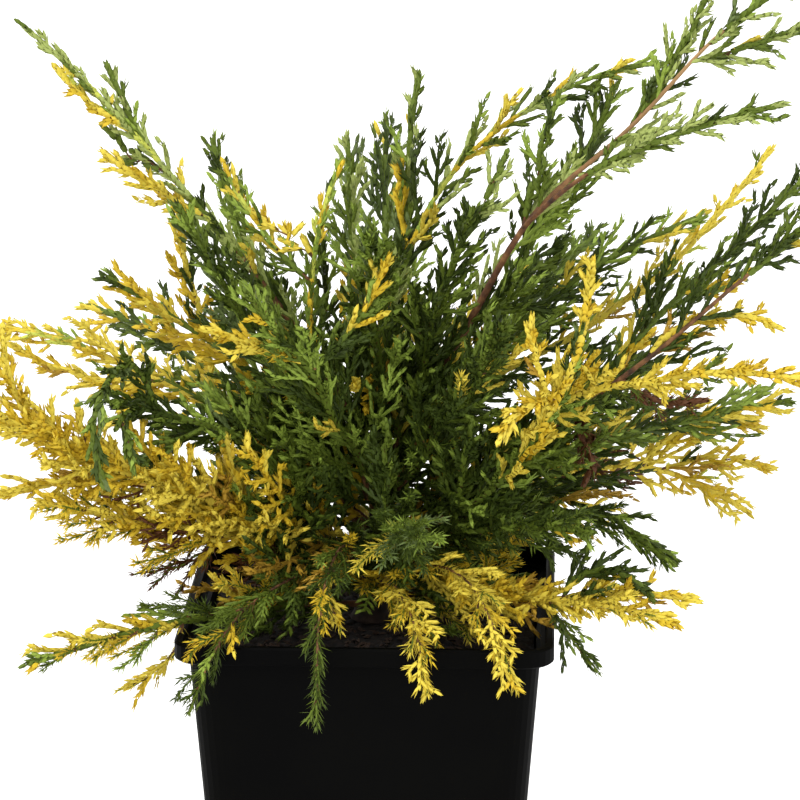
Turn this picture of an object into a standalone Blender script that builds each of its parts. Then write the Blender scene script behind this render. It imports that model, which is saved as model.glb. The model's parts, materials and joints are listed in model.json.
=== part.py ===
"""A potted spreading dwarf juniper, in metres with +Z up.

The origin is the centre of the pot's flat underside, and -Y is the front. A short trunk stands on the compost.
Boughs leave the trunk or an older bough, and each bough or the trunk carries masses of foliage. Every limb and
mass is grown by the same rule from one row of the SHOOTS list.
"""

import collections
import math
import random

import bmesh
import bpy
import numpy as np

GAP = 0.0003

POT_HEIGHT = 0.200
POT_RIM_SIDE = 0.150
POT_TOP_SIDE = 0.1392
POT_BASE_SIDE = 0.1094
POT_WALL = 0.0016
POT_FLOOR = 0.0030
COLLAR_HEIGHT = 0.0076
COLLAR_WALL = 0.0036
COLLAR_ROUNDING = 0.0008
CORNER_RADIUS = 0.0117
CORNER_STEPS = 6
DRAIN_RADIUS = 0.0045
DRAIN_RING = 0.036
DRAIN_COUNT = 8
DRAIN_SIDES = 10

COMPOST_EDGE_HEIGHT = 0.186
COMPOST_TOP_HEIGHT = 0.190
COMPOST_FLAT_RADIUS = 0.014

TRUNK_TOP_HEIGHT = 0.258
TRUNK_LEAN = (0.006, 0.004)
TRUNK_FOOT_RADIUS = 0.0085
TRUNK_WAIST_RADIUS = 0.0056
TRUNK_TOP_RADIUS = 0.0042
FLARE_HEIGHT = 0.016
FLARE_LOBES = 5
FLARE_DEPTH = 0.12
TRUNK_SIDES = 15
TRUNK_RINGS = 9

AXIS_STEPS = 24
LIMB_SIDES = 6
LIMB_RING_SPACING = 0.014
FINEST_RADIUS = 0.0007
THINNEST_FOOT_RADIUS = 0.0008
RADIUS_PER_LENGTH = 0.0052
THINNER_THAN_PARENT = 0.8

STEM_SIDES = 4
STEM_RING_SPACING = 0.024
TWIG_SPACING = 0.0134
TWIG_ANGLE = 46
SHORTEST_TWIG = 0.009
SHORTEST_SPRAY = 0.017
TIP_OVERHANG = 0.006
GOLDEN_ANGLE = math.radians(137.5)
SEED = 1
BLADE_WIDTH_SHARE = 0.23
BLADE_TEETH = ((0.22, 0.8), (0.37, 0.45), (0.46, 1.0), (0.58, 0.4), (0.68, 0.7), (0.80, 0.25))
BLADE_THICKNESS_SHARE = 0.05
THINNEST_BLADE = 0.0011
SPACE_MARGIN = 0.0034
LIMB_CLEARANCE = 0.0024
POT_CLEARANCE = 0.0035

Shoot = collections.namedtuple(
    "Shoot", "name parent at azimuth rise bend sweep length limb spread"
)

# Each row: its name, what it leaves and at which share of that length, the azimuth and rise in degrees where it
# starts, how far its rise bends and its azimuth sweeps on the way, its length, the share of that length which is
# a bare limb, and the length of the longest twig in its mass.
SHOOTS = [
    Shoot("top", "trunk", 1.00, 76, 79, -10, -2, 0.155, 0.45, 0.030),
    Shoot("arch", "top", 0.88, 5, 80, -74, -6, 0.155, 0.20, 0.030),
    Shoot("upper_left", "trunk", 0.86, -171, 63, -21, 7, 0.250, 0.42, 0.028),
    Shoot("upper_right", "trunk", 0.88, -21, 66, -28, 2, 0.265, 0.50, 0.036),
    Shoot("right", "trunk", 0.42, -14, 36, 8, -1, 0.245, 0.45, 0.036),
    Shoot("left", "trunk", 0.40, -141, 21, 9, -11, 0.200, 0.00, 0.048),
    Shoot("upper_right_spur", "upper_right", 0.92, -55, 41, -27, 48, 0.130, 0.20, 0.026),
    Shoot("plume_right", "upper_right", 0.50, 25, 45, 19, 3, 0.120, 0.20, 0.034),
    Shoot("mid_right", "trunk", 0.68, 4, 66, -47, 6, 0.180, 0.40, 0.038),
    Shoot("mid_right_gold", "mid_right", 0.80, 16, 15, 38, 7, 0.165, 0.25, 0.030),
    Shoot("right_plume", "right", 0.70, 29, 38, 8, -26, 0.160, 0.25, 0.034),
    Shoot("front_right", "right", 0.45, -53, 50, -57, 40, 0.185, 0.25, 0.034),
    Shoot("low_right", "trunk", 0.26, 15, 38, -37, 2, 0.190, 0.40, 0.045),
    Shoot("low_right_back", "low_right", 0.70, 49, 16, -51, -36, 0.140, 0.20, 0.042),
    Shoot("drooping_right", "low_right", 0.60, -23, 22, -54, -7, 0.095, 0.20, 0.034),
    Shoot("rim_right", "trunk", 0.10, -35, 18, -24, 10, 0.140, 0.00, 0.040),
    Shoot("rim_front", "trunk", 0.12, -78, 47, -101, 5, 0.115, 0.00, 0.034),
    Shoot("hanging_front", "trunk", 0.20, -111, 58, -143, 25, 0.140, 0.00, 0.030),
    Shoot("rim_left", "trunk", 0.08, -141, 12, -21, -4, 0.160, 0.00, 0.038),
    Shoot("near_centre", "trunk", 0.55, -100, 53, -5, -40, 0.150, 0.00, 0.046),
    Shoot("near_right", "trunk", 0.58, -46, 8, 77, 0, 0.190, 0.00, 0.034),
    Shoot("near_upper", "trunk", 0.95, -98, 74, -34, 8, 0.130, 0.00, 0.040),
    Shoot("near_left", "trunk", 0.53, -144, 45, -29, -3, 0.140, 0.00, 0.042),
    Shoot("near_mid", "trunk", 0.64, -58, 41, 9, 0, 0.135, 0.00, 0.044),
    Shoot("near_low", "trunk", 0.32, -80, 34, -24, 4, 0.110, 0.00, 0.040),
    Shoot("front_low_right", "trunk", 0.34, -36, 29, -23, -15, 0.125, 0.00, 0.040),
    Shoot("inner_right", "trunk", 0.72, -55, 68, -8, 1, 0.145, 0.00, 0.040),
    Shoot("inner_left", "trunk", 0.70, -148, 49, 13, 2, 0.160, 0.00, 0.040),
    Shoot("left_low", "trunk", 0.30, -146, 20, -3, 2, 0.160, 0.00, 0.046),
    Shoot("hanging_left", "trunk", 0.16, -130, 38, -93, 13, 0.135, 0.00, 0.034),
    Shoot("rim_front_right", "trunk", 0.17, -54, 48, -104, -10, 0.130, 0.00, 0.034),
    Shoot("near_plume", "trunk", 0.83, -126, 38, 81, -36, 0.150, 0.00, 0.036),
    Shoot("far_left", "trunk", 0.48, 159, 41, -38, -4, 0.195, 0.00, 0.038),
    Shoot("mid_left", "trunk", 0.62, 176, 55, -28, 0, 0.150, 0.00, 0.038),
    Shoot("low_left", "trunk", 0.76, -158, 60, -112, 4, 0.140, 0.00, 0.030),
    Shoot("upper_left_back", "trunk", 0.75, 140, 37, 31, -8, 0.170, 0.00, 0.032),
    Shoot("back_top", "trunk", 0.92, 120, 66, 4, -20, 0.135, 0.00, 0.032),
    Shoot("north", "trunk", 0.84, 93, 46, -3, -2, 0.180, 0.00, 0.042),
    Shoot("north_east", "trunk", 0.60, 52, 42, -25, 10, 0.190, 0.00, 0.042),
    Shoot("north_west", "trunk", 0.40, 132, 39, -32, 11, 0.195, 0.00, 0.042),
    Shoot("low_north_east", "trunk", 0.18, 48, 18, -25, 15, 0.165, 0.00, 0.040),
    Shoot("low_north", "trunk", 0.10, 92, 25, -50, -10, 0.150, 0.00, 0.040),
    Shoot("low_north_west", "trunk", 0.22, 140, 20, -30, -10, 0.170, 0.00, 0.040),
]


def clear_scene():
    for old in list(bpy.data.objects):
        bpy.data.objects.remove(old, do_unlink=True)


def make_material(name, colour, roughness, metallic=0.0):
    material = bpy.data.materials.new(name)
    material.use_nodes = True
    shader = material.node_tree.nodes["Principled BSDF"]
    shader.inputs["Base Color"].default_value = (*colour, 1.0)
    shader.inputs["Roughness"].default_value = roughness
    shader.inputs["Metallic"].default_value = metallic
    material.diffuse_color = (*colour, 1.0)
    return material


def mesh_object(name, points, faces, material=None, smooth=False):
    """One object of the given points and faces, its normals turned outward."""
    mesh = bpy.data.meshes.new(name)
    mesh.from_pydata([tuple(point) for point in points], [], [tuple(face) for face in faces])
    shape = bmesh.new()
    shape.from_mesh(mesh)
    bmesh.ops.recalc_face_normals(shape, faces=shape.faces)
    shape.to_mesh(mesh)
    shape.free()
    mesh.polygons.foreach_set("use_smooth", [smooth] * len(mesh.polygons))
    if material:
        mesh.materials.append(material)
    made = bpy.data.objects.new(name, mesh)
    bpy.context.scene.collection.objects.link(made)
    return made


def bridge_faces(loop_count, sides):
    """Quads between one loop of points and the next, for loops that are stored one after the other."""
    faces = []
    for loop in range(loop_count - 1):
        for side in range(sides):
            low = loop * sides + side
            next_low = loop * sides + (side + 1) % sides
            faces.append((low, next_low, next_low + sides, low + sides))
    return faces


# Pot and compost.


def rounded_square(half_side, radius, height):
    """Points round a square with rounded corners, at one height."""
    points = []
    for corner in range(4):
        start = corner * math.pi / 2
        centre_x = (half_side - radius) * (1 if corner in (0, 3) else -1)
        centre_y = (half_side - radius) * (1 if corner in (0, 1) else -1)
        for step in range(CORNER_STEPS + 1):
            angle = start + step / CORNER_STEPS * math.pi / 2
            points.append(
                (centre_x + radius * math.cos(angle), centre_y + radius * math.sin(angle), height)
            )
    return points


def lofted_square(name, levels, material):
    """A closed solid through rounded squares, each given as its half side, corner radius and height."""
    points = [point for level in levels for point in rounded_square(*level)]
    sides = 4 * (CORNER_STEPS + 1)
    faces = bridge_faces(len(levels), sides)
    last = (len(levels) - 1) * sides
    faces.append(tuple(reversed(range(sides))))
    faces.append(tuple(range(last, last + sides)))
    return mesh_object(name, points, faces, material)


def wall_half_side(height):
    """Half the pot's outer side at a height below its collar."""
    share = height / (POT_HEIGHT - COLLAR_HEIGHT)
    return (POT_BASE_SIDE + (POT_TOP_SIDE - POT_BASE_SIDE) * share) / 2


def add_pot(material):
    """The square container with its thickened collar and the drain holes through its floor."""
    under_collar = POT_HEIGHT - COLLAR_HEIGHT
    rim = POT_RIM_SIDE / 2
    mouth = rim - COLLAR_WALL
    edge = COLLAR_ROUNDING
    outside = [
        (wall_half_side(0), CORNER_RADIUS - 0.002, 0),
        (wall_half_side(under_collar), CORNER_RADIUS - 0.001, under_collar),
        (rim - edge, CORNER_RADIUS, under_collar),
        (rim, CORNER_RADIUS, under_collar + edge),
        (rim, CORNER_RADIUS, POT_HEIGHT - edge),
        (rim - edge, CORNER_RADIUS, POT_HEIGHT),
    ]
    ledge = under_collar - POT_WALL
    inside = [
        (mouth + edge, CORNER_RADIUS - 0.002, POT_HEIGHT),
        (mouth, CORNER_RADIUS - 0.003, POT_HEIGHT - edge),
        (mouth, CORNER_RADIUS - 0.003, under_collar),
        (wall_half_side(ledge) - POT_WALL, CORNER_RADIUS - 0.003, ledge),
        (wall_half_side(POT_FLOOR) - POT_WALL, CORNER_RADIUS - 0.0035, POT_FLOOR),
    ]
    pot = lofted_square("pot", outside + inside, material)
    for index in range(DRAIN_COUNT):
        angle = 2 * math.pi * (index + 0.5) / DRAIN_COUNT
        bpy.ops.mesh.primitive_cylinder_add(
            vertices=DRAIN_SIDES,
            radius=DRAIN_RADIUS,
            depth=4 * POT_FLOOR,
            location=(DRAIN_RING * math.cos(angle), DRAIN_RING * math.sin(angle), 0),
        )
        cutter = bpy.context.object
        cutter.name = f"drain_cutter_{index}"
        cutter.hide_render = True
        cutter.display_type = "WIRE"
        cut = pot.modifiers.new(cutter.name, "BOOLEAN")
        cut.operation = "DIFFERENCE"
        cut.object = cutter
    return pot


def compost_height(share):
    """Height of the compost's surface, from its edge at share 0 to its middle at share 1."""
    rise = math.sin(share * math.pi / 2)
    return COMPOST_EDGE_HEIGHT + (COMPOST_TOP_HEIGHT - COMPOST_EDGE_HEIGHT) * rise


def add_compost(material):
    """The fill of compost, flat in the middle where the trunk stands."""
    bottom = POT_FLOOR + GAP
    inset = POT_WALL + GAP
    radius = CORNER_RADIUS - 0.004
    edge = wall_half_side(COMPOST_EDGE_HEIGHT) - inset
    levels = [(wall_half_side(bottom) - inset, radius, bottom)]
    for share in (0, 0.3, 0.6, 1):
        half_side = edge + (COMPOST_FLAT_RADIUS - edge) * share
        levels.append((half_side, radius, compost_height(share)))
    return lofted_square("compost", levels, material)


# Trunk and limbs.


def unit(vector):
    return vector / np.linalg.norm(vector)


def at_share(points, share):
    """The point at a share of the way along a line of evenly spaced points."""
    place = min(max(share, 0.0), 1.0) * (len(points) - 1)
    low = min(int(place), len(points) - 2)
    return points[low] + (points[low + 1] - points[low]) * (place - low)


def frames(points):
    """For each point of a line, its direction and two directions across it that turn as little as they can."""
    ahead = np.gradient(points, axis=0)
    ahead = ahead / np.linalg.norm(ahead, axis=1, keepdims=True)
    side = np.cross(ahead[0], np.eye(3)[np.argmin(abs(ahead[0]))])
    sides = []
    for direction in ahead:
        side = unit(side - direction * (side @ direction))
        sides.append(side)
    sides = np.array(sides)
    return ahead, sides, np.cross(ahead, sides)


def ring_points(centre, radius, side, up, count):
    angles = 2 * np.pi * np.arange(count) / count
    return centre + radius * (np.outer(np.cos(angles), side) + np.outer(np.sin(angles), up))


def trunk_centre(height):
    share = (height - COMPOST_TOP_HEIGHT) / (TRUNK_TOP_HEIGHT - COMPOST_TOP_HEIGHT)
    return np.array([TRUNK_LEAN[0] * share, TRUNK_LEAN[1] * share, height])


def trunk_radius(height):
    """The trunk's mean radius: it flares over the compost and tapers to its top."""
    above = height - COMPOST_TOP_HEIGHT
    share = above / (TRUNK_TOP_HEIGHT - COMPOST_TOP_HEIGHT)
    flare = (TRUNK_FOOT_RADIUS - TRUNK_WAIST_RADIUS) * math.exp(-3 * above / FLARE_HEIGHT)
    return TRUNK_WAIST_RADIUS + (TRUNK_TOP_RADIUS - TRUNK_WAIST_RADIUS) * share + flare


def add_trunk(material):
    """The short trunk, from a flat cut on the compost through its root flare to its flat top."""
    points = []
    for ring in range(TRUNK_RINGS):
        share = (ring / (TRUNK_RINGS - 1)) ** 1.6
        height = COMPOST_TOP_HEIGHT + GAP + (TRUNK_TOP_HEIGHT - COMPOST_TOP_HEIGHT - GAP) * share
        lobe_depth = FLARE_DEPTH * math.exp(-2 * (height - COMPOST_TOP_HEIGHT) / FLARE_HEIGHT)
        centre = trunk_centre(height)
        for step in range(TRUNK_SIDES):
            angle = 2 * math.pi * step / TRUNK_SIDES
            radius = trunk_radius(height) * (1 + lobe_depth * math.cos(FLARE_LOBES * angle))
            points.append(centre + np.array([math.cos(angle), math.sin(angle), 0]) * radius)
    last = (TRUNK_RINGS - 1) * TRUNK_SIDES
    faces = bridge_faces(TRUNK_RINGS, TRUNK_SIDES)
    faces.append(tuple(reversed(range(TRUNK_SIDES))))
    faces.append(tuple(range(last, last + TRUNK_SIDES)))
    return mesh_object("trunk", points, faces, material, smooth=True)


def shoot_axis(foot, shoot):
    """Evenly spaced points of a shoot. Its rise and its azimuth change evenly along its length."""
    share = (np.arange(AXIS_STEPS) + 0.5) / AXIS_STEPS
    rise = np.radians(shoot.rise + shoot.bend * share)
    azimuth = np.radians(shoot.azimuth + shoot.sweep * share)
    steps = np.stack(
        [np.cos(rise) * np.cos(azimuth), np.cos(rise) * np.sin(azimuth), np.sin(rise)], axis=1
    )
    return np.vstack([foot, foot + np.cumsum(steps * shoot.length / AXIS_STEPS, axis=0)])


def shoot_radius(shoot, share):
    """Radius of a shoot's wood, which tapers evenly from its foot to its tip.

    A long shoot is thicker, but never as thick as the wood that it leaves.
    """
    foot = THINNEST_FOOT_RADIUS + RADIUS_PER_LENGTH * shoot.length
    if shoot.parent != "trunk":
        parent = next(row for row in SHOOTS if row.name == shoot.parent)
        foot = min(foot, THINNER_THAN_PARENT * shoot_radius(parent, shoot.at * parent.limb))
    return foot + (FINEST_RADIUS - foot) * share


def grow_axes():
    """Each shoot's axis by its name, older shoots first."""
    rows = {shoot.name: shoot for shoot in SHOOTS}
    axes = {}
    for shoot in SHOOTS:
        if shoot.parent == "trunk":
            rise = (TRUNK_TOP_HEIGHT - COMPOST_TOP_HEIGHT) * shoot.at
            foot = trunk_centre(COMPOST_TOP_HEIGHT + rise)
        else:
            foot = at_share(axes[shoot.parent], shoot.at * rows[shoot.parent].limb)
        axes[shoot.name] = shoot_axis(foot, shoot)
    return axes


def parent_surface(shoot, axes):
    """Points along the axis of what a shoot leaves, with the radius of the wood at each."""
    if shoot.parent == "trunk":
        heights = np.linspace(COMPOST_TOP_HEIGHT, TRUNK_TOP_HEIGHT, 80)
        centres = np.array([trunk_centre(height) for height in heights])
        flare = 1 + FLARE_DEPTH * np.exp(-2 * (heights - COMPOST_TOP_HEIGHT) / FLARE_HEIGHT)
        return centres, np.array([trunk_radius(height) for height in heights]) * flare
    parent = next(row for row in SHOOTS if row.name == shoot.parent)
    shares = np.linspace(0, 1, 160)
    centres = np.array([at_share(axes[parent.name], share) for share in shares])
    return centres, np.array([shoot_radius(parent, share) for share in shares])


def seat_on_parent(points, direction, shoot, axes):
    """Moves each point of a shoot's foot along the shoot until it is GAP clear of the wood that it leaves."""
    if shoot.at == 1.0:
        lift = (TRUNK_TOP_HEIGHT + GAP - points[:, 2]) / direction[2]
        return points + np.outer(lift, direction)
    centres, radii = parent_surface(shoot, axes)
    steps = np.arange(0, 0.030, 0.0001)
    seated = []
    for point in points:
        path = point + np.outer(steps, direction)
        away = np.linalg.norm(path[:, None] - centres[None], axis=2) - radii
        inside = np.nonzero(away.min(axis=1) < GAP)[0]
        first_clear = inside[-1] + 1 if len(inside) else 0
        seated.append(path[first_clear])
    return np.array(seated)


def wood_tube(shoot, axes, start, end, sides, spacing, pointed):
    """Points and faces of the wood between two shares of a shoot's axis.

    A foot at share 0 is seated on the parent. An end is a flat cut, or a point.
    """
    axis = axes[shoot.name]
    foot = start
    if start == 0:
        reach = seat_on_parent(axis[:1], unit(axis[1] - axis[0]), shoot, axes)[0]
        foot = (np.linalg.norm(reach - axis[0]) + 0.0045) / shoot.length
    rings = max(2, 1 + round((end - foot) * shoot.length / spacing))
    shares = np.linspace(foot, end, rings)
    centres = np.array([at_share(axis, share) for share in shares])
    around = frames(axis)
    points = []
    for share, centre in zip(shares, centres):
        ahead, side, up = (at_share(part, share) for part in around)
        radius = shoot_radius(shoot, share)
        points.append(ring_points(centre, radius, unit(side), unit(up), sides))
    if start == 0:
        base = np.vstack([points[0], centres[:1]])
        seat = seat_on_parent(base - (centres[0] - axis[0]), unit(axis[1] - axis[0]), shoot, axes)
        points.insert(0, seat[:-1])
        foot_centre = seat[-1]
    else:
        foot_centre = centres[0]
    loops = len(points)
    if pointed:
        points[-1] = centres[-1:]
        loops -= 1
    faces = bridge_faces(loops, sides)
    flat = np.vstack(points + [foot_centre])
    foot_index = len(flat) - 1
    faces += [(foot_index, (side + 1) % sides, side) for side in range(sides)]
    last = (loops - 1) * sides
    if pointed:
        faces += [(last + side, last + (side + 1) % sides, last + sides) for side in range(sides)]
    else:
        faces.append(tuple(range(last, last + sides)))
    return flat, faces


def add_bough(shoot, axes, material):
    points, faces = wood_tube(
        shoot, axes, 0, shoot.limb, LIMB_SIDES, LIMB_RING_SPACING, pointed=False
    )
    return mesh_object(f"bough_{shoot.name}", points, faces, material, smooth=True)


# Masses of foliage.


def dense_line(axis, start, end, spacing=0.003):
    length = np.linalg.norm(np.diff(axis, axis=0), axis=1).sum() * (end - start)
    shares = np.linspace(start, end, max(2, int(length / spacing)))
    return np.array([at_share(axis, share) for share in shares])


def crown_start(shoot):
    return shoot.limb + GAP / shoot.length if shoot.limb else 0.0


def map_space(axes):
    """The stems that divide the crown among the masses, and the bare wood that twigs stay clear of."""
    stems = {row.name: dense_line(axes[row.name], crown_start(row), 1) for row in SHOOTS}
    wood = []
    for row in SHOOTS:
        if row.limb:
            line = dense_line(axes[row.name], 0, row.limb)
            radii = [shoot_radius(row, row.limb * step / len(line)) for step in range(len(line))]
            wood.append(np.column_stack([line, radii]))
    heights = np.linspace(COMPOST_TOP_HEIGHT, TRUNK_TOP_HEIGHT, 24)
    wood.append(np.array([[*trunk_centre(z), trunk_radius(z)] for z in heights]))
    return stems, np.vstack(wood)


def clear_of_pot(points):
    """Whether each point is over the compost inside the pot, above its rim, or outside its walls."""
    across = np.abs(points[:, :2]).max(axis=1)
    over_rim = points[:, 2] > POT_HEIGHT + POT_CLEARANCE
    inside = (across < POT_RIM_SIDE / 2 - COLLAR_WALL - POT_CLEARANCE) & (
        points[:, 2] > COMPOST_TOP_HEIGHT + POT_CLEARANCE
    )
    outside = across > POT_RIM_SIDE / 2 + POT_CLEARANCE
    return (over_rim | inside | outside) & (points[:, 2] > POT_CLEARANCE)


def keeps_to_space(points, shoot, stems, wood):
    """Whether points are nearest to their own mass's stem by a margin, and clear of wood, pot and compost."""
    own = np.linalg.norm(points[:, None] - stems[shoot.name][None], axis=2).min(axis=1)
    for name, stem in stems.items():
        if name == shoot.name:
            continue
        other = np.linalg.norm(points[:, None] - stem[None], axis=2).min(axis=1)
        if (other - own < SPACE_MARGIN).any():
            return False
    from_wood = np.linalg.norm(points[:, None] - wood[None, :, :3], axis=2) - wood[None, :, 3]
    return bool((from_wood > LIMB_CLEARANCE).all() and clear_of_pot(points).all())


def tilted(ahead, side, up, roll, angle):
    """A direction at an angle off ahead, rolled round it."""
    across = math.cos(roll) * side + math.sin(roll) * up
    return math.cos(angle) * ahead + math.sin(angle) * across


def twig_length(shoot, share, place, chance):
    """Twigs are longest near the foot of a mass and shorten to its tip, which they pass by little."""
    length = SHORTEST_SPRAY + shoot.spread * (1 - share) ** 0.8 * chance.uniform(0.8, 1.1)
    return min(length, (1 - place) * shoot.length + TIP_OVERHANG)


def blade(path, across, width):
    """Points and faces of a toothed blade along a bent path: an outline in one plane round a thicker middle."""
    length = np.linalg.norm(path[2] - path[0])
    along = unit(path[2] - path[0])
    flat = unit(across - along * (across @ along))
    outline = [path[0]]
    outline += [at_share(path, share) + flat * width * reach for share, reach in BLADE_TEETH]
    outline.append(path[2])
    outline += [at_share(path, share) - flat * width * reach for share, reach in BLADE_TEETH[::-1]]
    raised = np.cross(along, flat) * max(BLADE_THICKNESS_SHARE * length, THINNEST_BLADE) / 2
    points = np.vstack([outline, path[1] + raised, path[1] - raised])
    count = len(outline)
    faces = []
    for step in range(count):
        following = (step + 1) % count
        faces.append((following, step, count))
        faces.append((step, following, count + 1))
    return points, faces


def twig_path(root, heading, ahead, length):
    """Root, middle and tip of a twig that curves from its heading toward the direction of its stem."""
    middle = root + heading * length * 0.5
    return np.array([root, middle, middle + unit(heading + 0.35 * ahead) * length * 0.5])


def add_twigs(shoot, axes, stems, wood, collection):
    """The sprays of one mass, each a toothed blade whose root is sunk in the stem."""
    axis = axes[shoot.name]
    start = crown_start(shoot) + 0.006 / shoot.length
    if not shoot.limb:
        start = 0.018 / shoot.length
    around = frames(axis)
    chance = random.Random(f"{shoot.name} {SEED}")
    count = round((1 - start) * shoot.length / TWIG_SPACING)
    for index in range(count):
        share = (index + 0.3) / count
        place = start + (1 - start) * share
        root = at_share(axis, place)
        ahead, side, up = (unit(at_share(part, place)) for part in around)
        roll = index * GOLDEN_ANGLE + chance.uniform(-0.35, 0.35)
        angle = math.radians(TWIG_ANGLE * (1 - 0.3 * share) * chance.uniform(0.85, 1.15))
        heading = tilted(ahead, side, up, roll, angle)
        full = twig_length(shoot, share, place, chance)
        across = tilted(side, up, ahead, chance.uniform(0, 2 * math.pi), math.pi / 2)
        for cut in (1.0, 0.75, 0.5):
            length = full * cut
            path = twig_path(root, heading, ahead, length)
            points, faces = blade(path, across, BLADE_WIDTH_SHARE * length)
            if length >= SHORTEST_TWIG and keeps_to_space(points[2:], shoot, stems, wood):
                made = mesh_object(f"{shoot.name}_{index}", points, faces)
                bpy.context.scene.collection.objects.unlink(made)
                collection.objects.link(made)
                break


def keep_largest_body(mesh):
    """Leaves out a loose scrap, and fills a sealed hollow by leaving out its skin."""
    shape = bmesh.new()
    shape.from_mesh(mesh)
    unseen = set(shape.verts)
    bodies = []
    while unseen:
        body = [unseen.pop()]
        for vertex in body:
            for edge in vertex.link_edges:
                other = edge.other_vert(vertex)
                if other in unseen:
                    unseen.remove(other)
                    body.append(other)
        bodies.append(body)
    bodies.sort(key=len)
    for body in bodies[:-1]:
        bmesh.ops.delete(shape, geom=body, context="VERTS")
    shape.to_mesh(mesh)
    shape.free()


def add_mass(shoot, axes, stems, wood, material):
    """One mass of foliage: a stem with its twigs and sprays joined to it by a Boolean union."""
    points, faces = wood_tube(
        shoot, axes, crown_start(shoot), 1, STEM_SIDES, STEM_RING_SPACING, pointed=True
    )
    mass = mesh_object(f"foliage_{shoot.name}", points, faces, material)
    collection = bpy.data.collections.new(f"twigs_{shoot.name}")
    bpy.context.scene.collection.children.link(collection)
    add_twigs(shoot, axes, stems, wood, collection)
    join = mass.modifiers.new("join", "BOOLEAN")
    join.operation = "UNION"
    join.operand_type = "COLLECTION"
    join.collection = collection
    graph = bpy.context.evaluated_depsgraph_get()
    joined = bpy.data.meshes.new_from_object(mass.evaluated_get(graph))
    mass.modifiers.clear()
    mass.data = joined
    for twig in list(collection.objects):
        bpy.data.objects.remove(twig, do_unlink=True)
    bpy.data.collections.remove(collection)
    keep_largest_body(joined)
    return mass


def main():
    clear_scene()
    axes = grow_axes()
    stems, wood = map_space(axes)
    add_pot(make_material("pot_plastic", (0.012, 0.012, 0.011), 0.55))
    add_compost(make_material("compost", (0.045, 0.028, 0.018), 0.95))
    bark = make_material("juniper_bark", (0.21, 0.095, 0.055), 0.85)
    add_trunk(bark)
    green = make_material("juniper_foliage", (0.085, 0.175, 0.040), 0.6)
    for shoot in SHOOTS:
        if shoot.limb:
            add_bough(shoot, axes, bark)
        add_mass(shoot, axes, stems, wood, green)


main()
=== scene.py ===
"""Looks of the potted dwarf juniper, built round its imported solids. Metres, +Z up, the front at -Y."""

import collections
import json
import math

import bpy
import numpy as np
from mathutils import Matrix, Vector

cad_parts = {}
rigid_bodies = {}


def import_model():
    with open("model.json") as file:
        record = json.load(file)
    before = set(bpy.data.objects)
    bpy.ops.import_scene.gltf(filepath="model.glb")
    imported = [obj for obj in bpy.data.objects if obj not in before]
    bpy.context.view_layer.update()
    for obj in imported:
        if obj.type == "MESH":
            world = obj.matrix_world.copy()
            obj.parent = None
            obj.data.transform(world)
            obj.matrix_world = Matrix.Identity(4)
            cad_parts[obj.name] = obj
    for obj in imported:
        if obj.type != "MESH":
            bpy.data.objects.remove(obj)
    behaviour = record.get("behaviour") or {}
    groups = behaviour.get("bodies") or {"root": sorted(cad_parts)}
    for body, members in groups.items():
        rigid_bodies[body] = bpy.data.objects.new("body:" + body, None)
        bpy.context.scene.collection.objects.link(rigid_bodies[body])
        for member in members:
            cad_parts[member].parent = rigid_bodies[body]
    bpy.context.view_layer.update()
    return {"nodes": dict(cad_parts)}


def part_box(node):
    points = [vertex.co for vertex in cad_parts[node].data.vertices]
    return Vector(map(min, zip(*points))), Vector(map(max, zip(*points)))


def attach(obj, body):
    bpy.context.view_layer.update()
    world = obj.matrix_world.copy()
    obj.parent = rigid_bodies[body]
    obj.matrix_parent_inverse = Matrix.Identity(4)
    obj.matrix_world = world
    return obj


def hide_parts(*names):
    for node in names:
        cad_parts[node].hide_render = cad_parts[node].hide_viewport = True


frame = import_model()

# Camera
# The photograph looks down a little on the pot from the front. The camera's place was fitted to the pot's rim,
# collar and sides, seen through a long lens.

VIEW_PITCH = math.radians(14.2)
VIEW_TURN = math.radians(2.3)
VIEW_POINT = (0.0729, -1.5242, 0.6679)
LENS_MM = 175.0
SENSOR_MM = 36.0

view_ahead = Vector(
    (
        -math.sin(VIEW_TURN) * math.cos(VIEW_PITCH),
        math.cos(VIEW_TURN) * math.cos(VIEW_PITCH),
        -math.sin(VIEW_PITCH),
    )
)
view_right = Vector((math.cos(VIEW_TURN), math.sin(VIEW_TURN), 0))
view_up = view_right.cross(view_ahead)
camera_data = bpy.data.cameras.new("camera")
camera_data.lens = LENS_MM
camera_data.sensor_width = SENSOR_MM
camera_data.clip_end = 20
camera = bpy.data.objects.new("camera", camera_data)
turn = Matrix((view_right, view_up, -view_ahead)).transposed().to_4x4()
camera.matrix_world = Matrix.Translation(VIEW_POINT) @ turn
bpy.context.scene.collection.objects.link(camera)
bpy.context.scene.camera = camera

# Studio
# A white floor under a white sky, lit by one large soft lamp over the front left and a weaker one at the right.


def linear(hex_colour):
    """An sRGB hex colour as linear red, green and blue: the low part is a straight line and the rest a power."""
    parts = [int(hex_colour[index : index + 2], 16) / 255 for index in (1, 3, 5)]
    return tuple(p / 12.92 if p <= 0.04045 else ((p + 0.055) / 1.055) ** 2.4 for p in parts)


def add_node(tree, kind, inputs=None, **settings):
    """Adds a node. inputs maps a socket's name or index to a value, or to a (node, output) pair to link."""
    made = tree.nodes.new(kind)
    for key, value in settings.items():
        setattr(made, key, value)
    for key, value in (inputs or {}).items():
        if isinstance(value, tuple) and isinstance(value[0], bpy.types.Node):
            tree.links.new(value[0].outputs[value[1]], made.inputs[key])
        else:
            made.inputs[key].default_value = value
    return made


def new_material(name):
    """An empty node material with its output, and the material's tree."""
    material = bpy.data.materials.new(name)
    material.use_nodes = True
    tree = material.node_tree
    tree.nodes.clear()
    return material, tree


def finish_material(tree, shader):
    add_node(tree, "ShaderNodeOutputMaterial", {"Surface": (shader, 0)})


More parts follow.
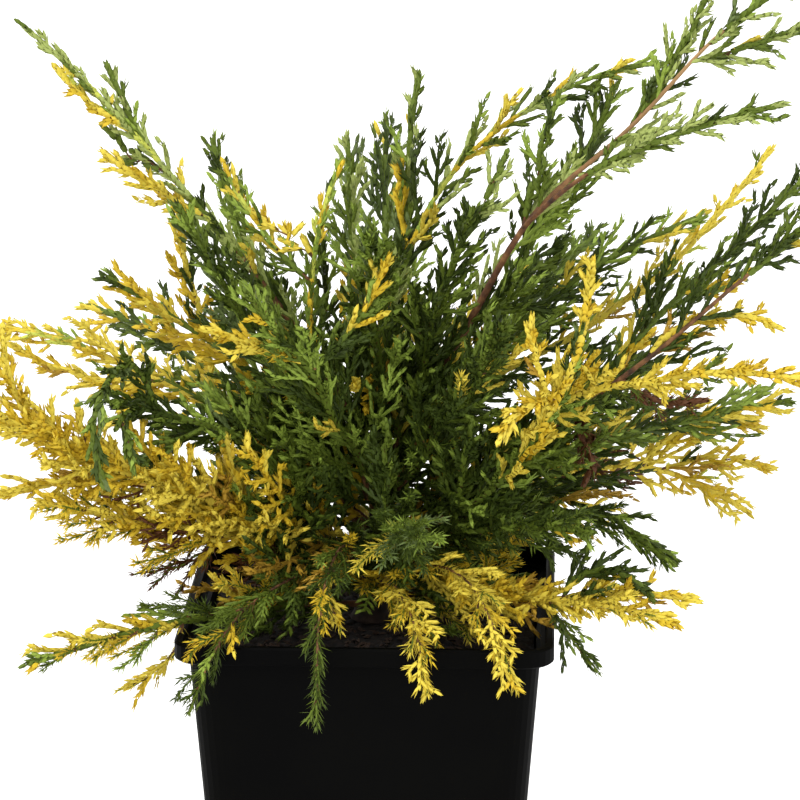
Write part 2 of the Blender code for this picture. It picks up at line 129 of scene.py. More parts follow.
def mesh_piece(name, points, faces, material, smooth=True):
    """A mesh object at the origin from an array of points and an array of faces with equal corners."""
    points = np.asarray(points, np.float32)
    faces = np.asarray(faces, np.int32)
    corners = faces.shape[1]
    mesh = bpy.data.meshes.new(name)
    mesh.vertices.add(len(points))
    mesh.vertices.foreach_set("co", points.ravel())
    mesh.loops.add(faces.size)
    mesh.loops.foreach_set("vertex_index", faces.ravel())
    mesh.polygons.add(len(faces))
    mesh.polygons.foreach_set("loop_start", np.arange(0, faces.size, corners, dtype=np.int32))
    mesh.polygons.foreach_set("use_smooth", np.full(len(faces), smooth))
    mesh.update(calc_edges=True)
    mesh.validate()
    mesh.materials.append(material)
    piece = bpy.data.objects.new(name, mesh)
    bpy.context.scene.collection.objects.link(piece)
    return piece


FLOOR_HALF = 6.0
floor_material, floor_tree = new_material("matt white paper floor")
finish_material(
    floor_tree,
    add_node(
        floor_tree,
        "ShaderNodeBsdfPrincipled",
        {"Base Color": (*linear("#f7f7f6"), 1), "Roughness": 0.9},
    ),
)
floor = mesh_piece(
    "floor",
    FLOOR_HALF * np.array([(-1, -1, 0), (1, -1, 0), (1, 1, 0), (-1, 1, 0)]) - (0, 0, 0.0002),
    [(0, 1, 2, 3)],
    floor_material,
)

SKY_SEEN = 1.0
SKY_LIGHT = 1.2
world = bpy.data.worlds.new("white studio")
world.use_nodes = True
sky_tree = world.node_tree
sky_tree.nodes.clear()
sky_path = add_node(sky_tree, "ShaderNodeLightPath")
sky_strength = add_node(
    sky_tree,
    "ShaderNodeMapRange",
    {"Value": (sky_path, "Is Camera Ray"), "To Min": SKY_LIGHT, "To Max": SKY_SEEN},
)
sky = add_node(
    sky_tree, "ShaderNodeBackground", {"Color": (1, 1, 1, 1), "Strength": (sky_strength, "Result")}
)
add_node(sky_tree, "ShaderNodeOutputWorld", {"Surface": (sky, "Background")})
bpy.context.scene.world = world
bpy.context.scene.view_settings.view_transform = "Standard"


def add_far_lamp(name, toward, softness, strength):
    """A lamp so far off that its light is even: toward is where it stands, softness the angle it fills."""
    lamp_data = bpy.data.lights.new(name, "SUN")
    lamp_data.angle = math.radians(softness)
    lamp_data.energy = strength
    lamp = bpy.data.objects.new(name, lamp_data)
    lamp.location = toward
    lamp.rotation_euler = (-Vector(toward)).to_track_quat("-Z", "Y").to_euler()
    bpy.context.scene.collection.objects.link(lamp)


add_far_lamp("key_lamp", (-0.8, -1.2, 1.9), 40, 2.0)
add_far_lamp("fill_lamp", (1.3, -1.1, 1.2), 60, 0.6)

# Pot
# A square nursery container, vacuum thin at the wall and thick at the collar. Black polypropylene, injection
# moulded in one piece, with the fine matt spark texture of the mould.

GRAIN_MM = 0.5
DUST_PATCH_MM = 45


def moulded_polypropylene():
    """Black polypropylene: nearly black, a soft broad shine, faint dusty patches and a fine moulded grain."""
    material, tree = new_material("black moulded polypropylene")
    place = add_node(tree, "ShaderNodeTexCoord")
    grain = add_node(
        tree, "ShaderNodeTexNoise", {"Vector": (place, "Object"), "Scale": 1000 / GRAIN_MM, "Detail": 2.0}
    )
    dust = add_node(
        tree, "ShaderNodeTexNoise", {"Vector": (place, "Object"), "Scale": 1000 / DUST_PATCH_MM, "Detail": 6.0}
    )
    tint = add_node(tree, "ShaderNodeValToRGB", {"Fac": (dust, "Fac")})
    tint.color_ramp.elements[0].position = 0.35
    tint.color_ramp.elements[0].color = (*linear("#020202"), 1)
    tint.color_ramp.elements[1].position = 0.75
    tint.color_ramp.elements[1].color = (*linear("#050504"), 1)
    shine = add_node(
        tree,
        "ShaderNodeMapRange",
        {"Value": (dust, "Fac"), "From Min": 0.3, "From Max": 0.7, "To Min": 0.46, "To Max": 0.62},
    )
    bump = add_node(
        tree,
        "ShaderNodeBump",
        {"Height": (grain, "Fac"), "Strength": 0.12, "Distance": 0.0002},
    )
    shader = add_node(
        tree,
        "ShaderNodeBsdfPrincipled",
        {
            "Base Color": (tint, "Color"),
            "Roughness": (shine, "Result"),
            "Normal": (bump, "Normal"),
            "IOR": 1.49,
            "Specular IOR Level": 0.03,
        },
    )
    finish_material(tree, shader)
    return material


pot = frame["nodes"]["pot"]
pot.data.materials.clear()
pot.data.materials.append(moulded_polypropylene())

# Compost
# Peat and composted bark, damp and dark brown, poured in and settled. Its surface is rough crumbs with loose
# bits of bark on it.

COMPOST_CELLS = 150
COMPOST_CORNER = 0.011
COMPOST_BOTTOM_HALF = 0.0523
CRUMB_MM = 2.4
CHIP_FLECK_MM = 3.8
CRUMB_HEIGHT = 0.0022
BARK_BITS = 900


def peat_compost():
    """Moist compost: dark brown crumbs with lighter fibres, quite without shine."""
    material, tree = new_material("moist peat compost")
    place = add_node(tree, "ShaderNodeTexCoord")
    crumbs = add_node(
        tree, "ShaderNodeTexNoise", {"Vector": (place, "Object"), "Scale": 1000 / CRUMB_MM, "Detail": 6.0}
    )
    tint = add_node(tree, "ShaderNodeValToRGB", {"Fac": (crumbs, "Fac")})
    tint.color_ramp.elements[0].position = 0.35
    tint.color_ramp.elements[0].color = (*linear("#0a0706"), 1)
    tint.color_ramp.elements[1].position = 0.70
    tint.color_ramp.elements[1].color = (*linear("#20160f"), 1)
    bump = add_node(
        tree, "ShaderNodeBump", {"Height": (crumbs, "Fac"), "Strength": 0.6, "Distance": 0.0008}
    )
    shader = add_node(
        tree,
        "ShaderNodeBsdfPrincipled",
        {"Base Color": (tint, "Color"), "Roughness": 0.95, "Normal": (bump, "Normal")},
    )
    finish_material(tree, shader)
    return material


def wave_noise(points, size, rng, waves=14):
    """A smooth random field: the mean of sine waves in random directions, each about size long."""
    total = np.zeros(len(points))
    for _ in range(waves):
        direction = rng.normal(size=points.shape[1])
        direction = direction / np.linalg.norm(direction) * 2 * np.pi / (size * rng.uniform(0.7, 1.4))
        total += np.sin(points @ direction + rng.uniform(0, 2 * np.pi))
    return total / math.sqrt(waves)


def grid_faces(rows, columns, wrap=False):
    """Quads of a grid whose points are stored row by row. With wrap, the last column joins the first."""
    row, column = np.meshgrid(np.arange(rows - 1), np.arange(columns - (not wrap)), indexing="ij")
    low = (row * columns + column).ravel()
    beside = (row * columns + (column + 1) % columns).ravel()
    return np.column_stack([low, beside, beside + columns, low + columns])


compost_low, compost_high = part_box("compost")
compost_rng = np.random.default_rng(11)


def round_corners(flat, half, radius):
    """Draws the corners of a square of points in to quarter circles.

    Beyond a corner's centre, a point moves towards that centre by its longer side over its distance.
    """
    beyond = np.abs(flat) - (half - radius)
    at_corner = (beyond > 0).all(axis=1)
    away = np.maximum(beyond, 1e-9)
    nearer = away.max(axis=1) / np.hypot(away[:, 0], away[:, 1])
    drawn_in = np.sign(flat) * (half - radius + away * nearer[:, None])
    return np.where(at_corner[:, None], drawn_in, flat)


def compost_surface():
    """The top of the compost on a grid with rounded corners: a low mound plus crumbs of two sizes."""
    edge = compost_high[0]
    line = np.linspace(-1, 1, COMPOST_CELLS) * (edge - 0.0004)
    x, y = np.meshgrid(line, line, indexing="ij")
    out = np.maximum(np.abs(x), np.abs(y)).ravel() / edge
    flat = round_corners(np.column_stack([x.ravel(), y.ravel()]), line[-1], COMPOST_CORNER)
    rough = 0.5 * wave_noise(flat, 0.006, compost_rng) + 0.35 * wave_noise(flat, 0.0028, compost_rng)
    mound = 0.186 + 0.004 * np.cos(out * np.pi / 2)
    height = mound - 0.0012 + CRUMB_HEIGHT * 0.5 * rough
    rim = out > 0.999
    skirt = np.where(rim, 0.182, height)
    return np.column_stack([flat, skirt]), grid_faces(COMPOST_CELLS, COMPOST_CELLS)[:, ::-1]


def closed_block(points, faces, count, bottom):
    """Adds a wall from the grid's border straight down to a flat bottom, so the block is closed."""
    index = np.arange(count * count).reshape(count, count)
    border = np.concatenate([index[0, :-1], index[:-1, -1], index[-1, :0:-1], index[:0:-1, 0]])
    low = points[border].copy()
    low[:, :2] *= COMPOST_BOTTOM_HALF / compost_high[0]
    low[:, 2] = bottom
    start = len(points)
    ahead = np.roll(np.arange(len(border)), -1)
    wall = np.column_stack([border, border[ahead], start + ahead, start + np.arange(len(border))])
    centre = start + len(border)
    points = np.vstack([points, low, [[0, 0, bottom]]])
    fan = np.column_stack(
        [start + np.arange(len(border)), start + ahead, np.full(len(border), centre), np.full(len(border), centre)]
    )
    return points, np.vstack([faces, wall]), fan[:, :3]


def triangles(quads):
    return np.vstack([quads[:, :3], quads[:, [0, 2, 3]]])


compost_points, compost_quads = compost_surface()
compost_points, compost_quads, compost_fan = closed_block(
    compost_points, compost_quads, COMPOST_CELLS, compost_low[2]
)
compost_material = peat_compost()
compost = mesh_piece(
    "compost_fill",
    compost_points,
    np.vstack([triangles(compost_quads), compost_fan]),
    compost_material,
)
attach(compost, "root")
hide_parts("compost")


def bark_chips():
    """Loose chips: flattened six-sided bits with random length, width and turn, lying on the compost."""
    rng = np.random.default_rng(23)
    reach = compost_high[0] - 0.006
    place = rng.uniform(-reach, reach, (BARK_BITS, 2))
    place = place[np.hypot(place[:, 0], place[:, 1]) > 0.014]
    count = len(place)
    out = np.abs(place).max(axis=1) / compost_high[0]
    height = 0.1855 + 0.004 * np.cos(out * np.pi / 2)
    size = rng.uniform(0.0008, 0.0035, (count, 1)) * np.array([[1.0, 0.55, 0.3]])
    turn = rng.uniform(0, 2 * np.pi, count)
    tilt = rng.normal(0, 0.35, count)
    corners = np.array([(1, 0, 0), (-1, 0, 0), (0, 1, 0), (0, -1, 0), (0, 0, 1), (0, 0, -1)], float)
    local = corners[None] * size[:, None] * rng.uniform(0.7, 1.2, (count, 6, 1))
    raised = local[..., 0] * np.sin(tilt)[:, None] + local[..., 2] * np.cos(tilt)[:, None]
    along = local[..., 0] * np.cos(tilt)[:, None] - local[..., 2] * np.sin(tilt)[:, None]
    x = along * np.cos(turn)[:, None] - local[..., 1] * np.sin(turn)[:, None]
    y = along * np.sin(turn)[:, None] + local[..., 1] * np.cos(turn)[:, None]
    points = np.stack([x + place[:, :1], y + place[:, 1:], raised + height[:, None]], axis=2)
    eight = np.array(
        [(0, 2, 4), (2, 1, 4), (1, 3, 4), (3, 0, 4), (2, 0, 5), (1, 2, 5), (3, 1, 5), (0, 3, 5)]
    )
    faces = (eight[None] + 6 * np.arange(count)[:, None, None]).reshape(-1, 3)
    return points.reshape(-1, 3), faces


chips_material, chips_tree = new_material("composted bark chips")
chips_place = add_node(chips_tree, "ShaderNodeTexCoord")
chips_noise = add_node(
    chips_tree, "ShaderNodeTexNoise", {"Vector": (chips_place, "Object"), "Scale": 1000 / CHIP_FLECK_MM, "Detail": 4.0}
)
chips_tint = add_node(chips_tree, "ShaderNodeValToRGB", {"Fac": (chips_noise, "Fac")})
chips_tint.color_ramp.elements[0].color = (*linear("#150d09"), 1)
chips_tint.color_ramp.elements[1].color = (*linear("#3f2b1c"), 1)
finish_material(
    chips_tree,
    add_node(
        chips_tree,
        "ShaderNodeBsdfPrincipled",
        {"Base Color": (chips_tint, "Color"), "Roughness": 0.9},
    ),
)
chips = mesh_piece("compost_chips", *bark_chips(), chips_material, smooth=False)
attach(chips, "root")

# Trunk and boughs
# Juniper wood a few years old, under thin reddish brown bark that splits along the limb and peels in strips.
# Each limb is a tube round the axis that the plant's growing rule gives.

COMPOST_TOP_HEIGHT = 0.190
TRUNK_TOP_HEIGHT = 0.258
TRUNK_LEAN = (0.006, 0.004)
TRUNK_WAIST_RADIUS = 0.0056
TRUNK_TOP_RADIUS = 0.0042
TRUNK_FOOT_RADIUS = 0.0085
FLARE_HEIGHT = 0.016
BARK_FLAKE_MM = 4.2
AXIS_STEPS = 24

Shoot = collections.namedtuple(
    "Shoot", "name parent at azimuth rise bend sweep length limb spread gold tone"
)

# The growing rule's rows: where each shoot leaves the trunk or an older shoot, its heading and how it bends, its
# length, the share of it that is a bare limb, the reach of its longest twigs, its share of golden sprays, and
# the tone of its foliage.
SHOOTS = [
    Shoot("top", "trunk", 1.00, 76, 79, -10, -2, 0.155, 0.45, 0.030, 0.02, "light"),
    Shoot("arch", "top", 0.88, 5, 80, -74, -6, 0.155, 0.20, 0.030, 0.22, "light"),
    Shoot("upper_left", "trunk", 0.86, -171, 63, -21, 7, 0.250, 0.42, 0.028, 0.12, "pale"),
    Shoot("upper_right", "trunk", 0.88, -21, 66, -28, 2, 0.265, 0.50, 0.036, 0.00, "light"),
    Shoot("right", "trunk", 0.42, -14, 36, 8, -1, 0.245, 0.45, 0.036, 0.10, "dark"),
    Shoot("left", "trunk", 0.40, -141, 21, 9, -11, 0.200, 0.00, 0.048, 0.90, "green"),
    Shoot("upper_right_spur", "upper_right", 0.92, -55, 41, -27, 48, 0.130, 0.20, 0.026, 0.00, "light"),
    Shoot("plume_right", "upper_right", 0.50, 25, 45, 19, 3, 0.120, 0.20, 0.034, 0.02, "green"),
    Shoot("mid_right", "trunk", 0.68, 4, 66, -47, 6, 0.180, 0.40, 0.038, 0.30, "fresh"),
    Shoot("mid_right_gold", "mid_right", 0.80, 16, 15, 38, 7, 0.165, 0.25, 0.030, 0.75, "fresh"),
    Shoot("right_plume", "right", 0.70, 29, 38, 8, -26, 0.160, 0.25, 0.034, 0.12, "dark"),
    Shoot("front_right", "right", 0.45, -53, 50, -57, 40, 0.185, 0.25, 0.034, 0.60, "green"),
    Shoot("low_right", "trunk", 0.26, 15, 38, -37, 2, 0.190, 0.40, 0.045, 0.36, "green"),
    Shoot("low_right_back", "low_right", 0.70, 49, 16, -51, -36, 0.140, 0.20, 0.042, 0.95, "fresh"),
    Shoot("drooping_right", "low_right", 0.60, -23, 22, -54, -7, 0.095, 0.20, 0.034, 0.05, "dark"),
    Shoot("rim_right", "trunk", 0.10, -35, 18, -24, 10, 0.140, 0.00, 0.040, 0.90, "green"),
    Shoot("rim_front", "trunk", 0.12, -78, 47, -101, 5, 0.115, 0.00, 0.034, 0.85, "green"),
    Shoot("hanging_front", "trunk", 0.20, -111, 58, -143, 25, 0.140, 0.00, 0.030, 0.18, "dark"),
    Shoot("rim_left", "trunk", 0.08, -141, 12, -21, -4, 0.160, 0.00, 0.038, 0.46, "green"),
    Shoot("near_centre", "trunk", 0.55, -100, 53, -5, -40, 0.150, 0.00, 0.046, 0.04, "fresh"),
    Shoot("near_right", "trunk", 0.58, -46, 8, 77, 0, 0.190, 0.00, 0.034, 0.42, "green"),
    Shoot("near_upper", "trunk", 0.95, -98, 74, -34, 8, 0.130, 0.00, 0.040, 0.12, "green"),
    Shoot("near_left", "trunk", 0.53, -144, 45, -29, -3, 0.140, 0.00, 0.042, 0.12, "green"),
    Shoot("near_mid", "trunk", 0.64, -58, 41, 9, 0, 0.135, 0.00, 0.044, 0.04, "dark"),
    Shoot("near_low", "trunk", 0.32, -80, 34, -24, 4, 0.110, 0.00, 0.040, 0.05, "blue"),
    Shoot("front_low_right", "trunk", 0.34, -36, 29, -23, -15, 0.125, 0.00, 0.040, 0.08, "dark"),
    Shoot("inner_right", "trunk", 0.72, -55, 68, -8, 1, 0.145, 0.00, 0.040, 0.05, "dark"),
    Shoot("inner_left", "trunk", 0.70, -148, 49, 13, 2, 0.160, 0.00, 0.040, 0.06, "green"),
    Shoot("left_low", "trunk", 0.30, -146, 20, -3, 2, 0.160, 0.00, 0.046, 0.88, "dark"),
    Shoot("hanging_left", "trunk", 0.16, -130, 38, -93, 13, 0.135, 0.00, 0.034, 0.10, "dark"),
    Shoot("rim_front_right", "trunk", 0.17, -54, 48, -104, -10, 0.130, 0.00, 0.034, 0.97, "green"),
    Shoot("near_plume", "trunk", 0.83, -126, 38, 81, -36, 0.150, 0.00, 0.036, 0.10, "fresh"),
    Shoot("far_left", "trunk", 0.48, 159, 41, -38, -4, 0.195, 0.00, 0.038, 0.52, "fresh"),
    Shoot("mid_left", "trunk", 0.62, 176, 55, -28, 0, 0.150, 0.00, 0.038, 0.46, "dark"),
    Shoot("low_left", "trunk", 0.76, -158, 60, -112, 4, 0.140, 0.00, 0.030, 0.00, "blue"),
    Shoot("upper_left_back", "trunk", 0.75, 140, 37, 31, -8, 0.170, 0.00, 0.032, 0.12, "green"),
    Shoot("back_top", "trunk", 0.92, 120, 66, 4, -20, 0.135, 0.00, 0.032, 0.06, "light"),
    Shoot("north", "trunk", 0.84, 93, 46, -3, -2, 0.180, 0.00, 0.042, 0.15, "green"),
    Shoot("north_east", "trunk", 0.60, 52, 42, -25, 10, 0.190, 0.00, 0.042, 0.10, "green"),
    Shoot("north_west", "trunk", 0.40, 132, 39, -32, 11, 0.195, 0.00, 0.042, 0.35, "green"),
    Shoot("low_north_east", "trunk", 0.18, 48, 18, -25, 15, 0.165, 0.00, 0.040, 0.50, "green"),
    Shoot("low_north", "trunk", 0.10, 92, 25, -50, -10, 0.150, 0.00, 0.040, 0.30, "dark"),
    Shoot("low_north_west", "trunk", 0.22, 140, 20, -30, -10, 0.170, 0.00, 0.040, 0.50, "dark"),
]

# Side shoots that show clearly in front of the crown or past its edge. Each leaves a share of the whole length of
# the shoot that bears it, and in the solids it is part of that shoot's own foliage.
SIDE_SHOOTS = [
    Shoot("upper_left_twig", "upper_left", 0.53, -160, 29, 9, -11, 0.045, 0.00, 0.010, 1.00, "green"),
    Shoot("upper_left_green", "upper_left", 0.68, 168, 62, 4, 0, 0.030, 0.00, 0.005, 0.00, "pale"),
    Shoot("upper_left_gold", "upper_left", 0.71, -165, 34, 13, -4, 0.035, 0.00, 0.003, 1.00, "light"),
    Shoot("upper_left_short", "upper_left", 0.63, 181, 10, 46, -2, 0.025, 0.00, 0.007, 0.00, "pale"),
    Shoot("upper_right_twig", "upper_right", 0.71, -1, 56, 12, 2, 0.055, 0.00, 0.010, 0.03, "light"),
    Shoot("upper_right_fork", "upper_right", 0.83, 4, 13, 7, 7, 0.045, 0.00, 0.012, 0.05, "light"),
    Shoot("gold_upright", "near_right", 0.69, -133, 43, 43, -1, 0.035, 0.00, 0.003, 1.00, "green"),
    Shoot("gold_cluster", "near_right", 0.67, -132, 38, -86, 1, 0.030, 0.00, 0.010, 1.00, "dark"),
    Shoot("left_fan", "near_centre", 0.70, -154, 29, -11, -3, 0.040, 0.00, 0.012, 1.00, "green"),
    Shoot("gold_plume", "near_centre", 0.67, -9, 42, 28, 4, 0.052, 0.00, 0.011, 0.48, "green"),
    Shoot("gold_feather", "hanging_front", 0.42, -130, -30, -27, 90, 0.030, 0.00, 0.011, 1.00, "green"),
    Shoot("gold_arch", "right", 0.58, -7, 59, -81, 3, 0.055, 0.00, 0.006, 1.00, "green"),
    Shoot("left_rise", "left", 0.76, -168, 29, 62, -3, 0.055, 0.00, 0.013, 1.00, "dark"),
    Shoot("left_rise_inner", "left", 0.65, -154, 25, 59, 6, 0.030, 0.00, 0.010, 1.00, "dark"),
    Shoot("left_cluster", "left_low", 0.38, -125, 58, 22, -9, 0.045, 0.00, 0.014, 1.00, "green"),
    Shoot("left_cluster_low", "left_low", 0.40, -151, 32, 31, -11, 0.045, 0.00, 0.013, 1.00, "green"),
    Shoot("far_left_lower", "far_left", 0.60, -172, -6, 39, -6, 0.060, 0.00, 0.010, 1.00, "fresh"),
    Shoot("far_left_hanging", "far_left", 0.60, -162, -43, 11, -1, 0.035, 0.00, 0.014, 1.00, "fresh"),
    Shoot("left_lower", "left", 0.62, -171, 5, -21, 4, 0.050, 0.00, 0.020, 1.00, "dark"),
    Shoot("right_dark", "rim_right", 0.66, -2, 69, -118, -12, 0.040, 0.00, 0.018, 0.00, "dark"),
    Shoot("right_dark_low", "rim_right", 0.62, -17, -64, 19, 0, 0.030, 0.00, 0.014, 0.00, "dark"),
    Shoot("right_low_gold", "rim_right", 0.66, -10, 17, -28, 7, 0.050, 0.00, 0.014, 0.95, "green"),
    Shoot("dead_tuft", "left_low", 0.47, -169, -43, 36, -3, 0.035, 0.00, 0.014, 0.00, "dark"),
    Shoot("dead_right", "right", 0.52, -17, -41, 53, 2, 0.030, 0.00, 0.008, 0.00, "dark"),
    Shoot("dead_right_low", "right", 0.40, -27, -9, -97, 3, 0.025, 0.00, 0.008, 0.00, "dark"),
    Shoot("left_droop", "near_left", 0.89, -122, 88, -239, 29, 0.095, 0.00, 0.010, 0.00, "blue"),
    Shoot("left_droop_inner", "near_left", 0.92, -120, 28, -96, 62, 0.040, 0.00, 0.009, 0.00, "blue"),
    Shoot("rim_left_low", "rim_left", 0.58, -167, -84, 67, 0, 0.035, 0.00, 0.012, 0.90, "green"),
    Shoot("mid_plume", "inner_right", 0.89, -2, 60, 7, 3, 0.035, 0.00, 0.016, 0.03, "light"),
    Shoot("mid_plume_right", "upper_right", 0.46, 45, 74, -7, -2, 0.050, 0.00, 0.012, 0.03, "green"),
    Shoot("left_upright", "mid_left", 0.68, 179, 75, 7, 2, 0.050, 0.00, 0.012, 0.60, "green"),
    Shoot("trunk_screen", "near_low", 0.40, -95, 62, 8, 6, 0.055, 0.00, 0.024, 0.00, "dark"),
    Shoot("trunk_screen_right", "front_low_right", 0.35, -75, 55, 10, 5, 0.060, 0.00, 0.024, 0.03, "dark"),
    Shoot("trunk_screen_left", "left_low", 0.20, -100, 55, 10, -5, 0.055, 0.00, 0.024, 0.05, "dark"),
    Shoot("fan_upper", "low_right_back", 0.62, -10, 61, -76, 7, 0.055, 0.00, 0.016, 0.95, "fresh"),
    Shoot("fan_middle", "low_right_back", 0.68, 9, 20, -38, -5, 0.045, 0.00, 0.016, 0.95, "fresh"),
    Shoot("inner_tip", "near_plume", 0.68, 178, 39, 28, 5, 0.055, 0.00, 0.012, 0.40, "fresh"),
    Shoot("inner_gold", "near_plume", 0.74, -180, 39, -3, 0, 0.025, 0.00, 0.004, 1.00, "fresh"),
    Shoot("inner_fill", "upper_left_back", 0.40, 66, 13, 114, -23, 0.060, 0.00, 0.024, 0.02, "green"),
]
ALL_SHOOTS = SHOOTS + SIDE_SHOOTS


def trunk_centre(height):
    """The trunk's axis leans evenly from the compost to its top."""
    share = (height - COMPOST_TOP_HEIGHT) / (TRUNK_TOP_HEIGHT - COMPOST_TOP_HEIGHT)
    return np.array([TRUNK_LEAN[0] * share, TRUNK_LEAN[1] * share, height])


def at_share(points, share):
    """Points at shares of the way along a line of evenly spaced points, by straight lines between them."""
    place = np.clip(share, 0, 1) * (len(points) - 1)
    low = np.minimum(place.astype(int) if np.ndim(place) else int(place), len(points) - 2)
    part = np.asarray(place - low)[..., None]
    return points[low] + (points[np.asarray(low) + 1] - points[low]) * part


def shoot_axis(foot, shoot):
    """A shoot's axis: steps of equal length whose rise and azimuth change evenly, added up from its foot."""
    share = (np.arange(AXIS_STEPS) + 0.5) / AXIS_STEPS
    rise = np.radians(shoot.rise + shoot.bend * share)
    azimuth = np.radians(shoot.azimuth + shoot.sweep * share)
    steps = np.stack(
        [np.cos(rise) * np.cos(azimuth), np.cos(rise) * np.sin(azimuth), np.sin(rise)], axis=1
    )
    return np.vstack([foot, foot + np.cumsum(steps * shoot.length / AXIS_STEPS, axis=0)])


def foot_share(shoot):
    """Where along an older shoot a shoot leaves it: on its bare limb, or anywhere if it is a side shoot."""
    return shoot.at if shoot in SIDE_SHOOTS else shoot.at * rows[shoot.parent].limb


def shoot_radius(shoot, share):
    """The wood tapers evenly from a foot that grows with the shoot's length, never thicker than its parent."""
    foot = 0.0008 + 0.0052 * shoot.length
    if shoot.parent != "trunk":
        foot = min(foot, 0.8 * shoot_radius(rows[shoot.parent], foot_share(shoot)))
    return foot + (0.0007 - foot) * share


WANDER = 0.0007
wander_rng = np.random.default_rng(8)


def wander():
    """What a live shoot strays from its rule: two slow waves, none at its foot and tip."""
    share = np.linspace(0, 1, AXIS_STEPS + 1)[:, None]
    waves = np.zeros((AXIS_STEPS + 1, 3))
    for _ in range(2):
        turns = wander_rng.uniform(1.0, 3.0)
        waves += wander_rng.normal(size=3) * np.sin(2 * np.pi * turns * share + wander_rng.uniform(0, 6))
    return WANDER * np.sin(np.pi * share) * waves


rows = {shoot.name: shoot for shoot in ALL_SHOOTS}
axes = {}
for shoot in ALL_SHOOTS:
    if shoot.parent == "trunk":
        rise = (TRUNK_TOP_HEIGHT - COMPOST_TOP_HEIGHT) * shoot.at
        foot = trunk_centre(COMPOST_TOP_HEIGHT + rise)
    else:
        foot = at_share(axes[shoot.parent], foot_share(shoot))
    axes[shoot.name] = shoot_axis(foot, shoot) + wander()


def unit(vectors):
    return vectors / np.linalg.norm(vectors, axis=-1, keepdims=True)


def bark_tube(points, radii, sides, rng, relief):
    """Rings round a line of points, their radius raised and lowered by ridges that run along the limb.

    Returns points and triangles. Both ends are closed by a fan to the end's own centre.
    """
    ahead = unit(np.gradient(points, axis=0))
    across = unit(np.cross(ahead, [0.31, 0.17, 0.94] if abs(ahead[0][2]) < 0.9 else [1.0, 0.2, 0.0]))
    up = np.cross(ahead, across)
    angle = 2 * np.pi * np.arange(sides) / sides
    along = np.concatenate([[0], np.cumsum(np.linalg.norm(np.diff(points, axis=0), axis=1))])
    ridge = np.zeros((len(points), sides))
    for count in (3, 5, 8):
        drift = rng.uniform(0, 2 * np.pi) + rng.uniform(20, 60) * along[:, None]
        ridge += np.sin(count * angle[None] + drift) / math.sqrt(count)
    ridge += 0.7 * np.sin(along[:, None] * 2 * np.pi / 0.0045 + 2 * np.sin(angle)[None])
    radius = radii[:, None] * (1 + relief * ridge)
    ring = (
        points[:, None]
        + radius[..., None] * np.cos(angle)[None, :, None] * across[:, None]
        + radius[..., None] * np.sin(angle)[None, :, None] * up[:, None]
    )
    quads = grid_faces(len(points), sides, wrap=True)
    flat = np.vstack([ring.reshape(-1, 3), points[:1], points[-1:]])
    step = np.arange(sides)
    first, last = len(flat) - 2, len(flat) - 1
    start = (len(points) - 1) * sides
    caps = np.vstack(
        [
            np.column_stack([(step + 1) % sides, step, np.full(sides, first)]),
            np.column_stack([start + step, start + (step + 1) % sides, np.full(sides, last)]),
        ]
    )
    return flat, np.vstack([triangles(quads), caps])


def join_parts(parts):
    """One array of points and one of faces from a list of (points, faces)."""
    starts = np.cumsum([0] + [len(points) for points, _ in parts[:-1]])
    faces = np.vstack([faces + start for (_, faces), start in zip(parts, starts)])
    return np.vstack([points for points, _ in parts]), faces


def juniper_bark(name, cracks, body, loose_flakes):
    """Thin papery bark: reddish brown with darker cracks and paler flakes, and smooth light tan on young wood.

    The attribute youth is 0 on old wood and 1 at a shoot's tip.
    """
    material, tree = new_material(name)
    place = add_node(tree, "ShaderNodeTexCoord")
    flakes = add_node(
        tree, "ShaderNodeTexNoise", {"Vector": (place, "Object"), "Scale": 1000 / BARK_FLAKE_MM, "Detail": 6.0}
    )
    tint = add_node(tree, "ShaderNodeValToRGB", {"Fac": (flakes, "Fac")})
    ramp = tint.color_ramp
    ramp.elements[0].position = 0.30
    ramp.elements[0].color = (*linear(cracks), 1)
    ramp.elements[1].position = 0.72
    ramp.elements[1].color = (*linear(loose_flakes), 1)
    middle = ramp.elements.new(0.52)
    middle.color = (*linear(body), 1)
    youth = add_node(tree, "ShaderNodeAttribute", attribute_name="youth")
    young_bark = add_node(
        tree,
        "ShaderNodeMix",
        {"Factor": (youth, "Fac"), 6: (tint, "Color"), 7: (*linear("#9c7a50"), 1)},
        data_type="RGBA",
    )
    bump = add_node(
        tree, "ShaderNodeBump", {"Height": (flakes, "Fac"), "Strength": 0.7, "Distance": 0.0005}
    )
    shader = add_node(
        tree,
        "ShaderNodeBsdfPrincipled",
        {"Base Color": (young_bark, "Result"), "Roughness": 0.85, "Normal": (bump, "Normal")},
    )
    finish_material(tree, shader)
    return material


bark_material = juniper_bark("peeling juniper bark", "#2d190c", "#613c20", "#8c6338")
# The trunk's bark is painted shade: a darker copy of the bark, because the trunk stands in the crown's shade.
shaded_trunk_bark_material = juniper_bark("old juniper bark darkened as painted shade", "#150d08", "#291a11", "#403021")
bark_rng = np.random.default_rng(5)
trunk_heights = np.linspace(COMPOST_TOP_HEIGHT - 0.001, TRUNK_TOP_HEIGHT + 0.002, 60)
trunk_points = np.array([trunk_centre(height) for height in trunk_heights])
trunk_above = np.maximum(trunk_heights - COMPOST_TOP_HEIGHT, 0)
trunk_share = trunk_above / (TRUNK_TOP_HEIGHT - COMPOST_TOP_HEIGHT)
trunk_radii = (
    TRUNK_WAIST_RADIUS
    + (TRUNK_TOP_RADIUS - TRUNK_WAIST_RADIUS) * trunk_share
    + (TRUNK_FOOT_RADIUS - TRUNK_WAIST_RADIUS) * np.exp(-3 * trunk_above / FLARE_HEIGHT)
)
trunk = mesh_piece(
    "trunk_bark", *bark_tube(trunk_points, trunk_radii, 30, bark_rng, 0.07), shaded_trunk_bark_material
)
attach(trunk, "root")
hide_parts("trunk")

